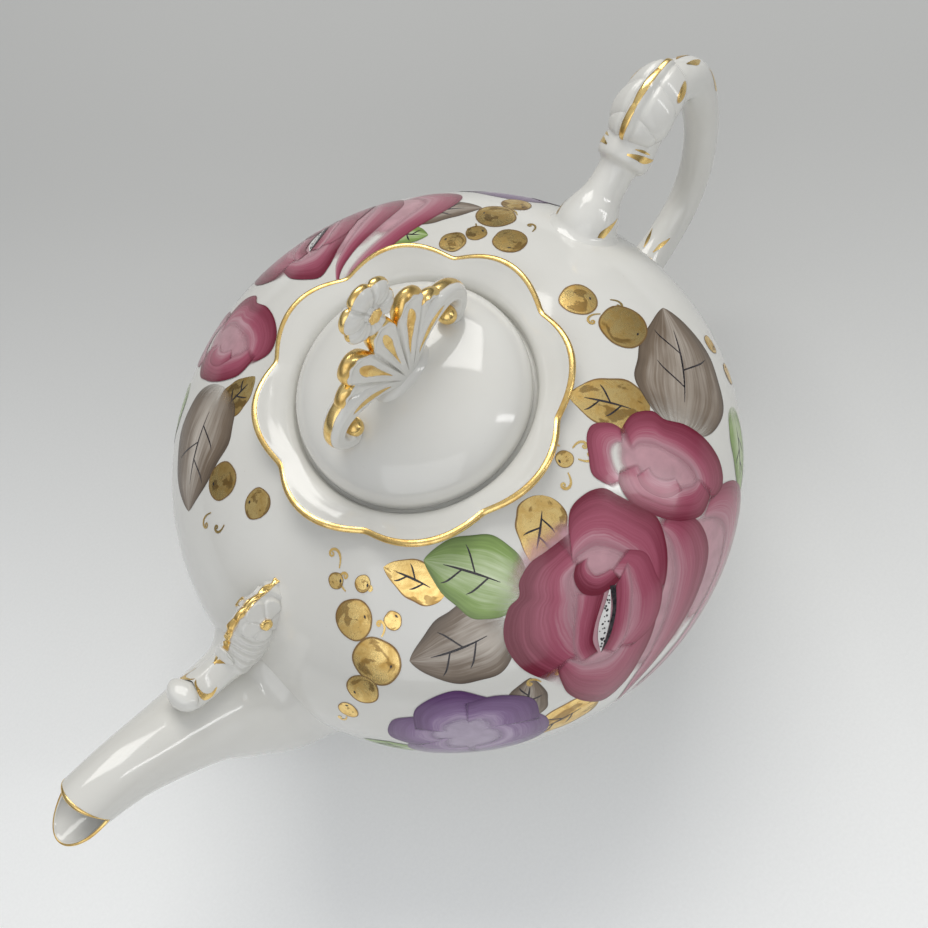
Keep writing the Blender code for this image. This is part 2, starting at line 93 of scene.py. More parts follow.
# Mouth. FLARE_ROWS go from the ledge up over the lip and down its outside: (radius, height above the ledge,
# share of the lobes' reach, share of their rise). The gilt line covers the stretch LIP_BAND of them.
HOLE_RADIUS = 0.0272
LEDGE_RADIUS = 0.0331
LEDGE_HEIGHT = 0.1260
LEDGE_UNDER = COLLAR_LOW[2]
PLUG_RADIUS = OPENING_RADIUS - 0.0003
COLLAR_LOBES = 8
LOBE_REACH = 0.0030
LOBE_RISE = 0.0022
FLARE_ROWS = (
    (LEDGE_RADIUS + 0.0002, 0.0003, 0.0, 0.0),
    (LEDGE_RADIUS + 0.0004, 0.0012, 0.0, 0.0),
    (LEDGE_RADIUS + 0.0009, 0.0024, 0.02, 0.0),
    (LEDGE_RADIUS + 0.0022, 0.0036, 0.12, 0.08),
    (0.0372, 0.0045, 0.26, 0.2),
    (0.0392, 0.0053, 0.38, 0.34),
    (0.0408, 0.0060, 0.46, 0.47),
    (0.0417, 0.00615, 0.50, 0.50),
    (0.0423, 0.0058, 0.50, 0.50),
    (0.0423, 0.0051, 0.50, 0.50),
    (0.0414, 0.0043, 0.46, 0.46),
    (0.0396, 0.0036, 0.34, 0.28),
    (0.0379, 0.0031, 0.16, 0.1),
    (PLUG_RADIUS, 0.0027, 0.0, 0.0),
)
LIP_BAND = (6.05, 9.0)
GILT_ABOVE = 0.00008
GILT_BELOW = 0.0001

# Swept parts, as (reach, height above the widest plane, half width, half depth) in belly radii.
SPOUT_ROWS = (
    (0.60, -0.17, 0.24, 0.28),
    (0.79, -0.11, 0.28, 0.36),
    (0.94, -0.01, 0.25, 0.31),
    (1.05, 0.12, 0.20, 0.216),
    (1.14, 0.255, 0.152, 0.158),
    (1.25, 0.380, 0.120, 0.122),
    (1.35, 0.478, 0.100, 0.099),
    (1.45, 0.542, 0.090, 0.084),
    (1.54, 0.574, 0.084, 0.072),
    (1.62, 0.592, 0.079, 0.058),
    (1.70, 0.604, 0.066, 0.040),
)
HANDLE_ROWS = (
    (0.66, 0.29, 0.100, 0.100),
    (0.78, 0.36, 0.104, 0.106),
    (0.845, 0.399, 0.104, 0.108),
    (0.895, 0.428, 0.086, 0.092),
    (0.935, 0.450, 0.066, 0.072),
    (0.985, 0.473, 0.061, 0.067),
    (1.022, 0.492, 0.064, 0.070),
    (1.040, 0.501, 0.086, 0.089),
    (1.075, 0.518, 0.090, 0.092),
    (1.13, 0.545, 0.083, 0.085),
    (1.23, 0.575, 0.074, 0.076),
    (1.33, 0.570, 0.070, 0.072),
    (1.425, 0.490, 0.067, 0.070),
    (1.490, 0.330, 0.062, 0.068),
    (1.522, 0.130, 0.060, 0.068),
    (1.505, -0.060, 0.060, 0.068),
    (1.430, -0.205, 0.062, 0.068),
    (1.290, -0.285, 0.066, 0.070),
    (1.13, -0.315, 0.076, 0.078),
    (0.97, -0.325, 0.100, 0.102),
    (0.80, -0.330, 0.110, 0.110),
)
CREST_ROWS = (
    (0.655, 0.455, 0.030, 0.030),
    (0.700, 0.450, 0.044, 0.070),
    (0.750, 0.440, 0.052, 0.116),
    (0.800, 0.425, 0.056, 0.136),
    (0.850, 0.408, 0.056, 0.130),
    (0.905, 0.398, 0.054, 0.100),
    (0.960, 0.402, 0.050, 0.076),
    (1.010, 0.424, 0.050, 0.058),
    (1.062, 0.456, 0.054, 0.050),
    (1.098, 0.496, 0.056, 0.046),
    (1.072, 0.530, 0.052, 0.036),
)
LEAF_ROWS = (
    (1.062, 0.560, 0.046, 0.042),
    (1.105, 0.586, 0.086, 0.070),
    (1.160, 0.609, 0.097, 0.085),
    (1.220, 0.626, 0.092, 0.084),
    (1.285, 0.638, 0.074, 0.068),
    (1.335, 0.643, 0.044, 0.038),
)
CREST_BLADE = 0.62
LEAF_BLADE = 0.45
ROOT_SINK = 0.0012
SPOUT_FILLET = 0.0055
HANDLE_FILLET = 0.0024

# Spout wall, thinned towards the beak, and the beak's mouth: a slanting plane through two spots in belly
# radii, from which the upper and the lower lip stand out and the corners of the mouth stand back.
SPOUT_WALL = 0.0026
BEAK_THINNING = (0.0003, 0.0010, 0.0015, 0.0017, 0.0017, 0.0017)
BEAK_UPPER = (1.420, 0.628)
BEAK_LOWER = (1.574, 0.530)
LIP_SETBACK = 0.0004
LIP_TONGUE = 0.0018
LIP_BROW = 0.0034
LIP_CORNER = 0.0035

# Crest relief: the flower's place along the crest and above its middle, the ridge's end and the bead.
CREST_FLOWER = (0.0118, 0.0046)
CREST_FLOWER_RADIUS = 0.0060
CREST_RIDGE_END = 0.0262
CREST_BEAD = 0.0288

# Lid, and its volutes as metres from the foot of the palmette: (reach, height, half width, half depth).
DOME_TOP = DOME_HIGH[2]
DOME_SEAT = DOME_LOW[2]
DOME_RADIUS = DOME_HIGH[0]
DOME_EDGE = 0.0020
DOME_POWER = 2.3
DOME_INNER = -FLANGE_LOW[0] - 0.0034
FLANGE_INNER = 0.0215
VOLUTE_ROWS = (
    (0.0030, 0.0020, 0.0024, 0.0014),
    (0.0070, 0.0056, 0.0030, 0.0026),
    (0.0118, 0.0092, 0.0032, 0.0038),
    (0.0168, 0.0108, 0.0033, 0.0042),
    (0.0212, 0.0096, 0.0031, 0.0034),
    (0.0240, 0.0058, 0.0028, 0.0025),
    (0.0234, 0.0014, 0.0027, 0.0022),
    (0.0206, -0.0006, 0.0029, 0.0027),
    (0.0188, 0.0014, 0.0020, 0.0018),
)
VOLUTE_BALL = 0.0026
# Palmette: (lean from upright in degrees, length) of the middle feather and of each pair beside it.
FEATHERS = ((0.0, 0.0278), (24.0, 0.0285), (47.0, 0.0250))
FAN_SPREAD = 59.0
FAN_ROOT = 0.0015
FAN_HALF_THICKNESS = 0.0027
FLOWER_RADIUS = (FLOWER_HIGH[0] - FLOWER_LOW[0]) / 2
FLOWER_MIDDLE = (FLOWER_HIGH[2] + FLOWER_LOW[2]) / 2
FLOWER_HALF_THICKNESS = 0.0030


# ---------------------------------------------------------------- node materials
class Nodes:
    """Short names for building a node tree."""

    def __init__(self, tree):
        self.tree = tree

    def plug(self, socket, value):
        if isinstance(value, bpy.types.NodeSocket):
            self.tree.links.new(value, socket)
        elif isinstance(value, tuple) and socket.type == "RGBA":
            socket.default_value = (*value, 1.0)
        else:
            socket.default_value = value

    def node(self, kind, inputs=None, out=0, **settings):
        made = self.tree.nodes.new(kind)
        for key, value in settings.items():
            setattr(made, key, value)
        for key, value in (inputs or {}).items():
            self.plug(made.inputs[key], value)
        return made.outputs[out]

    def place(self, out=3):
        return self.node("ShaderNodeTexCoord", out=out)

    def split(self, vector):
        return [self.node("ShaderNodeSeparateXYZ", {0: vector}, axis) for axis in range(3)]

    def brush(self):
        return self.split(self.node("ShaderNodeAttribute", out=1, attribute_name="brush"))

    def value(self, name):
        return self.node("ShaderNodeAttribute", out=2, attribute_name=name)

    def lane(self, u, across, v, along, seed):
        return self.node("ShaderNodeCombineXYZ", {0: self.times(u, across), 1: self.times(v, along), 2: seed})

    def noise(self, vector, scale, detail=3.0, rough=0.5, distort=0.0):
        made = {"Vector": vector, "Scale": scale, "Detail": detail, "Roughness": rough}
        return self.node("ShaderNodeTexNoise", {**made, "Distortion": distort})

    def math(self, operation, a, b=0.0, c=0.0, clamp=False):
        return self.node("ShaderNodeMath", {0: a, 1: b, 2: c}, operation=operation, use_clamp=clamp)

    def times(self, a, b, clamp=False):
        return self.math("MULTIPLY", a, b, clamp=clamp)

    def madd(self, a, b, c):
        return self.math("MULTIPLY_ADD", a, b, c)

    def ramp(self, value, low, high, to_low=0.0, to_high=1.0, smooth=False):
        values = {"Value": value, 1: low, 2: high, 3: to_low, 4: to_high}
        kind = "SMOOTHSTEP" if smooth else "LINEAR"
        return self.node("ShaderNodeMapRange", values, interpolation_type=kind, clamp=True)

    def blend(self, factor, a, b):
        return self.node("ShaderNodeMix", {0: factor, 2: a, 3: b})

    def mix(self, factor, a, b):
        return self.node("ShaderNodeMix", {0: factor, 6: a, 7: b}, 2, data_type="RGBA")

    def bump(self, height, strength, distance):
        values = {"Height": height, "Strength": strength, "Distance": distance * MM}
        return self.node("ShaderNodeBump", values)


class Look(Nodes):
    """A Principled material built from nodes."""

    def __init__(self, name):
        self.material = bpy.data.materials.new(name)
        self.material.use_nodes = True
        super().__init__(self.material.node_tree)
        self.shader = self.tree.nodes["Principled BSDF"]
        self.shader.inputs["IOR"].default_value = 1.5

    def set(self, **inputs):
        for key, value in inputs.items():
            self.plug(self.shader.inputs[key.replace("_", " ")], value)
        return self.material


PORCELAIN_LIGHT = (0.745, 0.735, 0.690)
PORCELAIN_SHADE = (0.690, 0.675, 0.625)
BISCUIT = (0.70, 0.67, 0.61)
BISCUIT_GRAIN = (0.56, 0.52, 0.46)
IRON_SPECK = (0.42, 0.35, 0.27)
GOLD_BRIGHT = (0.96, 0.70, 0.28)
GOLD_DEEP = (0.66, 0.40, 0.11)
GOLD_BROWN = (0.22, 0.11, 0.03)
GOLD_RIM = (0.17, 0.085, 0.03)
GOLD_SEAM = (0.35, 0.20, 0.08)
INK = (0.012, 0.011, 0.013)
INK_THIN = (0.06, 0.045, 0.05)
ROSE_WASH = (0.60, 0.34, 0.38)
VIOLET_WASH = (0.56, 0.46, 0.60)
HEART_WHITE = (0.80, 0.79, 0.76)
# Paints, from the densest to the thinnest.
MAGENTAS = ((0.150, 0.008, 0.026), (0.365, 0.085, 0.135), (0.64, 0.43, 0.465))
VIOLET_TONES = ((0.080, 0.026, 0.105), (0.195, 0.100, 0.240), (0.56, 0.45, 0.59))
TAUPES = ((0.062, 0.042, 0.028), (0.195, 0.147, 0.105), (0.56, 0.50, 0.43))
GREENS = ((0.085, 0.135, 0.032), (0.245, 0.36, 0.10), (0.60, 0.68, 0.44))


def glaze_values(look, bare_below=None):
    """Colour, roughness and bump height of clear-glazed white porcelain, bare biscuit under a height."""
    place = look.place()
    cloud = look.noise(place, 26.0, 4.0, 0.55)
    colour = look.mix(look.ramp(cloud, 0.3, 0.72), PORCELAIN_LIGHT, PORCELAIN_SHADE)
    speck = look.ramp(look.noise(place, 900.0, 2.0, 0.6), 0.76, 0.80)
    colour = look.mix(look.times(speck, 0.35), colour, IRON_SPECK)
    rough = look.ramp(look.noise(place, 70.0, 5.0, 0.6), 0.25, 0.8, 0.05, 0.15)
    height = look.madd(look.noise(place, 1500.0, 2.0), 0.02, look.noise(place, 48.0, 2.0))
    if bare_below is not None:
        ragged = look.madd(look.noise(place, 380.0), 0.6 * MM, look.split(place)[2])
        bare = look.ramp(ragged, bare_below, bare_below + 0.25 * MM, 1.0, 0.0)
        grain = look.noise(place, 2600.0, 3.0, 0.7)
        colour = look.mix(bare, colour, look.mix(look.ramp(grain, 0.3, 0.7), BISCUIT, BISCUIT_GRAIN))
        rough = look.madd(bare, 0.55, rough)
    return colour, rough, height


def gold_values(look):
    """Colour, roughness and bump height of burnished, slightly worn gold."""
    place = look.place()
    cloud = look.noise(place, 210.0, 6.0, 0.62, 0.6)
    fine = look.noise(place, 1400.0, 3.0, 0.7)
    colour = look.mix(look.ramp(cloud, 0.42, 0.70), GOLD_BRIGHT, GOLD_DEEP)
    colour = look.mix(look.ramp(fine, 0.60, 0.78, 0.0, 0.55), colour, GOLD_BROWN)
    turned = {"Vector": place, "Rotation": (0.3, 0.5, 0.9), "Scale": (1.0, 9.0, 9.0)}
    stretch = look.node("ShaderNodeMapping", turned)
    height = look.madd(look.noise(stretch, 420.0, 4.0, 0.7), 0.6, look.times(cloud, 0.8))
    return colour, look.ramp(cloud, 0.3, 0.75, 0.16, 0.40), height


def porcelain(name, bare_below=None, coat=0.25):
    look = Look(name)
    colour, rough, height = glaze_values(look, bare_below)
    look.set(Base_Color=colour, Roughness=rough, Normal=look.bump(height, 0.16, 0.5))
    return look.set(Coat_Weight=coat, Coat_Roughness=0.04)


def gilded(name, edge=0.08):
    """Porcelain with gold wherever the vertex value gild is above zero."""
    look = Look(name)
    colour, rough, height = glaze_values(look)
    gold, gold_rough, gold_height = gold_values(look)
    wander = look.madd(look.noise(look.place(), 620.0, 3.0, 0.6), 0.36, -0.18)
    value = look.math("ADD", look.value("gild"), wander)
    factor = look.ramp(value, -edge, edge, smooth=True)
    seam = look.math("SUBTRACT", look.ramp(value, -2.2 * edge, -edge), look.ramp(value, -edge, edge))
    colour = look.mix(look.times(seam, 0.55, True), colour, GOLD_SEAM)
    both = look.madd(factor, 1.5, look.blend(factor, height, gold_height))
    look.set(Base_Color=look.mix(factor, colour, gold), Metallic=factor)
    return look.set(Roughness=look.blend(factor, rough, gold_rough), Normal=look.bump(both, 0.22, 0.12))


def gilt(name, outlined=False):
    """Gold film. On outlined shapes the rim is a thin brown line, and brown patches are painted dark
    reflections.
    """
    look = Look(name)
    colour, rough, height = gold_values(look)
    metal = 1.0
    if outlined:
        u, v, seed = look.brush()
        rim = look.ramp(look.math("ABSOLUTE", u), 0.90, 0.95)
        colour = look.mix(look.times(rim, 0.85), colour, GOLD_RIM)
        # Painted dark reflections: brown patches over part of each outlined gold leaf and berry.
        dark_reflection = look.noise(look.lane(u, 1.1, v, 2.0, seed), 1.6)
        colour = look.mix(look.ramp(dark_reflection, 0.56, 0.60, 0.0, 0.62), colour, GOLD_BROWN)
        metal = look.ramp(rim, 0.0, 1.0, 1.0, 0.45)
    return look.set(Base_Color=colour, Metallic=metal, Roughness=rough, Normal=look.bump(height, 0.5, 0.06))


def brushed(name, deep, middle, pale, streaks=34.0):
    """Overglaze petals: dense colour at the outer edge, streaked along the stroke, thin at its inner edge."""
    look = Look(name)
    u, v, seed = look.brush()
    tone = look.value("tone")
    across = look.madd(look.noise(look.lane(u, 2.0, v, 3.0, seed), 1.4), 0.12, u)
    hair = look.noise(look.lane(across, streaks, v, 1.6, seed), 1.0, 6.0, 0.70)
    band = look.noise(look.lane(across, 6.0, v, 1.0, seed), 1.0, 2.0)
    load = look.math("ADD", u, look.madd(hair, 0.62, -0.31))
    load = look.times(look.math("ADD", load, look.madd(band, 0.5, -0.25)), tone)
    colour = look.mix(look.ramp(load, -0.10, 0.44), pale, middle)
    colour = look.mix(look.ramp(load, 0.46, 1.02), colour, deep)
    rim = look.times(look.ramp(u, 0.955, 0.992, 0.0, 0.55), tone, True)
    cover = look.ramp(look.madd(hair, 0.16, u), 0.07, 0.36, smooth=True)
    ends = look.times(look.ramp(v, 0.0, 0.06), look.ramp(v, 0.94, 1.0, 1.0, 0.0))
    look.set(Base_Color=look.mix(rim, colour, deep), Alpha=look.times(cover, ends))
    look.set(Roughness=look.ramp(hair, 0.2, 0.8, 0.12, 0.24), Normal=look.bump(hair, 0.3, 0.04))
    return look.set(Coat_Weight=0.2, Coat_Roughness=0.05)


def leafy(name, dark, middle, pale):
    """Overglaze leaf: dark along both edges and the tip, washed out at the base, streaked lengthwise."""
    look = Look(name)
    u, v, seed = look.brush()
    side = look.math("ABSOLUTE", u)
    hair = look.noise(look.lane(u, 13.0, v, 1.5, seed), 1.0, 5.0, 0.6)
    cloud = look.noise(look.lane(u, 1.0, v, 1.0, seed), 2.2, 2.0)
    load = look.madd(look.math("POWER", side, 1.6), 0.55, look.times(v, 0.30))
    load = look.math("ADD", load, look.madd(hair, 0.7, -0.35))
    load = look.math("ADD", load, look.madd(cloud, 0.6, -0.3))
    colour = look.mix(look.ramp(load, -0.05, 0.42), pale, middle)
    colour = look.mix(look.ramp(load, 0.42, 0.95), colour, dark)
    colour = look.mix(look.ramp(side, 0.95, 0.99, 0.0, 0.6), colour, dark)
    look.set(Base_Color=colour, Alpha=look.ramp(look.madd(hair, 0.3, v), 0.02, 0.42, smooth=True))
    return look.set(Roughness=look.ramp(hair, 0.2, 0.8, 0.14, 0.26), Normal=look.bump(hair, 0.3, 0.04))


def wash(name, colour, alpha, ragged=0.25):
    """A thin flat film with a ragged, soft edge."""
    look = Look(name)
    cloud = look.noise(look.place(), 160.0, 4.0, 0.6)
    tint = look.mix(look.ramp(cloud, 0.3, 0.75), colour, tuple(channel * 0.72 for channel in colour))
    edge = look.madd(cloud, ragged, look.brush()[0])
    cover = look.ramp(edge, 0.72 + ragged / 2, 1.0 + ragged / 2, alpha, 0.0, True)
    look.set(Base_Color=tint, Alpha=cover, Roughness=look.ramp(cloud, 0.3, 0.7, 0.12, 0.22))
    return look.set(Normal=look.bump(cloud, 0.2, 0.05))


def ink(name):
    look = Look(name)
    cloud = look.noise(look.place(), 800.0, 3.0, 0.6)
    look.set(Base_Color=look.mix(look.ramp(cloud, 0.4, 0.8), INK, INK_THIN))
    return look.set(Roughness=look.ramp(cloud, 0.3, 0.7, 0.2, 0.4), Normal=look.bump(cloud, 0.3, 0.04))


# ---------------------------------------------------------------- meshes
def link(name, data):
    made = bpy.data.objects.new(name, data)
    bpy.context.scene.collection.objects.link(made)
    return made


def mesh_object(name, slot, look, points, faces, values=None, stands_in=False):
    """A smooth mesh that rides on its slot's body. values maps attribute names to arrays, one row a point."""
    mesh = bpy.data.meshes.new(name)
    mesh.from_pydata(points.reshape(-1, 3).tolist(), [], faces)
    for key, numbers in (values or {}).items():
        kind, field = ("FLOAT_VECTOR", "vector") if key == "brush" else ("FLOAT", "value")
        mesh.attributes.new(key, kind, "POINT").data.foreach_set(field, numbers.ravel())
    mesh.materials.append(look)
    mesh.shade_smooth()
    made = link(name, mesh)
    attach(made, LID if slot.startswith(LID) else TEAPOT)
    if stands_in:
        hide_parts(slot)
    return made


def grid_faces(rows, columns, wrap_rows=False, wrap_columns=False):
    """Quads of a rows x columns grid of points, closed round in either direction if asked."""
    i = np.arange(rows if wrap_rows else rows - 1)[:, None]
    j = np.arange(columns if wrap_columns else columns - 1)[None, :]
    here = i * columns + j
    right = i * columns + (j + 1) % columns
    below = (i + 1) % rows * columns + j
    across = (i + 1) % rows * columns + (j + 1) % columns
    return np.stack([here + 0 * right, right, across, below], axis=-1).reshape(-1, 4)


def skin_object(name, slot, look, grid, merge=0.0, ring=False, gild=None, stands_in=True, cap=False):
    """A mesh over a grid of points, closed round its columns, and round its rows as well if it is a ring.

    Points closer than merge become one. The ends are capped if cap asks for it or if nothing is merged.
    """
    faces = grid_faces(*grid.shape[:2], ring, True).tolist()
    values = {} if gild is None else {"gild": gild}
    made = mesh_object(name, slot, look, grid, faces, values, stands_in)
    if merge or not ring:
        rebuild(made.data, merge, cap=cap or not merge)
    return made


def rebuild(mesh, merge=0.0, dropped=(), cap=False):
    """Drop some faces, merge points, cap the open edge loops if asked, and face everything out."""
    work = bmesh.new()
    work.from_mesh(mesh)
    work.faces.ensure_lookup_table()
    bmesh.ops.delete(work, geom=[work.faces[index] for index in dropped], context="FACES")
    if merge:
        bmesh.ops.remove_doubles(work, verts=work.verts, dist=merge)
    if cap:
        bmesh.ops.holes_fill(work, edges=[edge for edge in work.edges if edge.is_boundary])
    else:
        bmesh.ops.dissolve_degenerate(work, edges=work.edges, dist=merge / 4)
    bmesh.ops.recalc_face_normals(work, faces=work.faces)
    work.to_mesh(mesh)
    work.free()
    mesh.shade_smooth()


def close_axis(mesh, height):
    """A closed ring chain whose ends meet across the axis: drop the faces that join them and cap both."""
    joining = [face.index for face in mesh.polygons
               if abs(face.center.z - height) < WALL / 4 and math.hypot(*face.center.xy) < 2 * WALL]
    rebuild(mesh, 0.0, joining, True)


def unit(vectors, floor=1e-9):
    return vectors / np.maximum(np.linalg.norm(vectors, axis=-1, keepdims=True), floor)


def circle(steps):
    return np.arange(steps) * 2 * math.pi / steps


def soft(value, width):
    """Smooth step from 0 to 1 as value goes from -width to width."""
    share = np.clip((value + width) / (2 * width), 0.0, 1.0)
    return share * share * (3 - 2 * share)


def hill(value, width):
    """Bell curve of height 1 at zero."""
    return np.exp(-((value / width) ** 2))


def bulge(share):
    """Quarter circle: 0 at share 0 and 1 from share 1 on."""
    return np.sqrt(np.clip(1 - (1 - np.clip(share, 0, 1)) ** 2, 0, 1))


def revolve(rows, steps, wave=None):
    """Grid of points round Z from rows of (radius, height, lobe reach, lobe rise)."""
    rows = np.array([(*row, 0.0, 0.0)[:4] for row in rows])
    turn = circle(steps)
    swing = wave(turn) if wave else np.zeros(steps)
    across = rows[:, 0:1] + rows[:, 2:3] * swing
    height = rows[:, 1:2] + rows[:, 3:4] * swing
    return np.stack([across * np.cos(turn), across * np.sin(turn), height], axis=-1)


def smooth_rows(rows, count):
    """Catmull-Rom curve through rows of numbers, sampled at count places."""
    rows = np.array(rows, float)
    ends = np.vstack([2 * rows[0] - rows[1], rows, 2 * rows[-1] - rows[-2]])
    place = np.linspace(0.0, len(rows) - 1.0, count)
    first = np.minimum(place.astype(int), len(rows) - 2)
    part = (place - first)[:, None]
    before, start, end, after = (ends[first + k] for k in range(4))
    bend = 2 * before - 5 * start + 4 * end - after
    twist = 3 * start - before - 3 * end + after
    return start + 0.5 * part * (end - before + part * (bend + part * twist))


def superellipse(radius, rise, power, start, end, count):
    """(radius, height) rows on a quarter superellipse between two angles in degrees."""
    turn = np.radians(np.linspace(start, end, count))
    across = radius * np.abs(np.cos(turn)) ** (2.0 / power)
    return np.column_stack([across, rise * np.abs(np.sin(turn)) ** (2.0 / power)])


def corner(before, at, after, ease, count=6):
    """Rows that round the corner at, starting and ending ease away from it."""
    before, at, after = (np.array(row, float) for row in (before, at, after))
    first = at + unit(before - at) * ease
    last = at + unit(after - at) * ease
    share = np.linspace(0.0, 1.0, count)[:, None]
    return (1 - share) ** 2 * first + 2 * share * (1 - share) * at + share**2 * last


def rounded(rows, eases):
    """A closed chain of rows with each corner rounded by its own ease."""
    chain = []
    for index, row in enumerate(rows):
        beside = rows[index - 1], rows[(index + 1) % len(rows)]
        chain.append(corner(beside[0], row, beside[1], eases[index]) if eases[index] else np.array([row]))
    return np.vstack(chain)


# ---------------------------------------------------------------- surfaces
def belly_half(up):
    """Superellipse power and half height of the half of the belly that a height is in."""
    return np.where(up > 0, CROWN_POWER, KEEL_POWER), np.where(up > 0, CROWN_RISE, KEEL_DROP)


def skin_reach(direction):
    """Distance from the belly's centre to its skin along unit directions."""
    power, rise = belly_half(direction[..., 2])
    across = np.hypot(direction[..., 0], direction[..., 1]) / BELLY_RADIUS
    return (across**power + (np.abs(direction[..., 2]) / rise) ** power) ** (-1.0 / power)


def skin_normal(offset):
    """Outward unit normals of the skin at offsets from the belly's centre."""
    across = np.maximum(np.hypot(offset[..., 0], offset[..., 1]), 1e-9)
    up = offset[..., 2]
    power, rise = belly_half(up)
    flat = (across / BELLY_RADIUS) ** (power - 1) / BELLY_RADIUS / across
    steep = np.sign(up) * (np.abs(up) / rise) ** (power - 1) / rise
    return unit(np.stack([offset[..., 0] * flat, offset[..., 1] * flat, steep], axis=-1))


def skin_depth(points):
    """Height of points above the belly's skin, negative inside."""
    offset = points - BELLY_CENTRE
    return np.linalg.norm(offset, axis=-1) - skin_reach(unit(offset))


def on_belly(azimuth, latitude, turn=0.0, scale=1.0, about=(0.0, 0.0)):
    """Maps flat offsets in millimetres, laid against the belly at a spot, to points above its skin.

    Azimuth 0 is the -Y flank and grows towards the handle. Latitude is seen from the belly's centre.
    """
    a, l, t = (math.radians(angle) for angle in (azimuth, latitude, turn))
    out = np.array([math.sin(a) * math.cos(l), -math.cos(a) * math.cos(l), math.sin(l)])
    east = np.array([math.cos(a), math.sin(a), 0.0])
    north = np.cross(out, east)
    spin = np.array([[math.cos(t), math.sin(t)], [-math.sin(t), math.cos(t)]])

    def lay(flat, lift):
        flat = (np.asarray(flat, float) - about) @ spin * scale * MM
        ray = unit(out * skin_reach(out) + flat[..., 0:1] * east + flat[..., 1:2] * north)
        offset = ray * skin_reach(ray)[..., None]
        return BELLY_CENTRE + offset + skin_normal(offset) * np.asarray(lift)[..., None]

    return lay


class Tube:
    """Surface swept in the plane y = 0 along rows of (x, z, half width, half depth).

    blade thins it towards the side where sin(turn) has the sign of ridge.
    """

    def __init__(self, rows, blade=0.0, ridge=1, count=1200):
        self.blade = blade
        self.ridge = ridge
        rows = smooth_rows(rows, count)
        step = np.linalg.norm(np.diff(rows[:, :2], axis=0), axis=1)
        walked = np.append(0.0, np.cumsum(step))
        self.length = walked[-1]
        self.places = np.linspace(0.0, 1.0, count)
        rows = np.column_stack([np.interp(self.places, walked / self.length, column) for column in rows.T])
        self.table = np.column_stack([rows, unit(np.gradient(rows[:, :2], axis=0))])

    def sample(self, place):
        return [np.interp(place, self.places, column) for column in self.table.T]

    def at(self, place, turn, grow=0.0, squeeze=1.0):
        x, z, width, depth, along_x, along_z = self.sample(place)
        width = width * (1.0 - self.blade * np.clip(self.ridge * np.sin(turn), 0.0, 1.0) ** 1.5)
        offset = (depth * squeeze + grow) * np.sin(turn)
        side = (width * squeeze + grow) * np.cos(turn)
        return np.stack([x - offset * along_z, side, z + offset * along_x], axis=-1)

    def centres(self, place):
        x, z = self.sample(place)[:2]
        return np.stack([x, 0 * x, z], axis=-1)

    def on(self, place, turn):
        """Maps flat offsets in millimetres (along the tube, round it) to points above its surface."""
        turn = math.radians(turn)
        width, depth = self.sample(place)[2:4]
        radius = math.hypot(width * math.sin(turn), depth * math.cos(turn))

        def lay(flat, lift):
            flat = np.asarray(flat, float) * MM
            return self.at(place + flat[..., 0] / self.length, turn + flat[..., 1] / radius, lift)

        return lay


def belly_rows(rows, side):
    """World rows (x, z, half width, half depth) from rows in belly radii, on the -X or +X side."""
    return np.array(rows) * BELLY_RADIUS * (side, 1, 1, 1) + (0, BELLY_HEIGHT, 0, 0)


def bisect(test, low, high, turns=40):
    """Place between low (test false) and high (test true) where the test turns true, per column."""
    for _ in range(turns):
        middle = (low + high) / 2
        passed = test(middle)
        high = np.where(passed, middle, high)
        low = np.where(passed, low, middle)
    return high


def flare(points, centres, reach):
    """Fillet against the belly: points near the skin move away from their centreline."""
    depth = skin_depth(points)
    push = reach * np.clip(1.0 - depth / reach, 0.0, 1.35) ** 2.2 * 0.55
    normal = skin_normal(points - BELLY_CENTRE)
    away = points - centres
    away = unit(away - normal * np.sum(away * normal, -1)[..., None], 1e-6)
    moved = points + away * push[..., None]
    # What came up slides back along the normal, so that the sunk edge stays sunk.
    lost = np.minimum(depth - skin_depth(moved), 0.0)
    return moved + skin_normal(moved - BELLY_CENTRE) * lost[..., None]


# ---------------------------------------------------------------- the painted films
SHEETS = {}
# Millimetres from one painted layer to the next: the strokes of a flower, or a vein on its leaf.
LAYER = 0.03
# Every sheet shifts its noise by a random number up to this.
SEEDS = 90.0


def lay_grid(piece, lay, flat, u, v, lift, tone=1.0):
    """Queue an open sheet of one painted piece, with brush values (across, along, seed), facing out."""
    shape = flat.shape[:2]
    seed = rng.uniform(0, SEEDS)
    brush = np.stack([np.broadcast_to(u, shape), np.broadcast_to(v, shape), np.full(shape, seed)], axis=-1)
    points = lay(flat, np.full(shape, lift * MM))
    row, column = shape[0] // 2, shape[1] // 2
    here = points[row, column]
    facing = np.cross(points[row, column + 1] - here, points[row + 1, column] - here)
    outward = lay(flat[row, column], lift * MM + MM) - here
    quads = grid_faces(*shape)
    if np.dot(facing, outward) < 0:
        quads = quads[:, ::-1]
    SHEETS.setdefault(piece, []).append((points, quads, brush, np.full(shape, tone)))


def petal(piece, lay, inner, outer, lift, tone):
    """One stroke of the brush between an inner and an outer line, dense at the outer one."""
    rows, columns = 26, 90
    inner = smooth_rows(inner, columns)
    outer = smooth_rows(outer, columns)
    u = np.linspace(0.0, 1.0, rows)[:, None]
    flat = inner[None] * (1 - u[..., None]) + outer[None] * u[..., None]
    lay_grid(piece, lay, flat, u, np.linspace(0.0, 1.0, columns)[None], lift, tone)


def blob(piece, lay, centre, radii, lift, rows=14, columns=72):
    """A filled round shape, from radii at equal steps round its centre."""
    turn = np.linspace(0.0, 2 * math.pi, columns)
    around = smooth_rows(np.append(radii, radii[0])[:, None], columns)[:, 0]
    u = np.linspace(0.0, 1.0, rows)[:, None]
    far = u * around
    flat = np.stack([centre[0] + far * np.cos(turn), centre[1] + far * np.sin(turn)], axis=-1)
    lay_grid(piece, lay, flat, u, turn[None] / (2 * math.pi), lift)


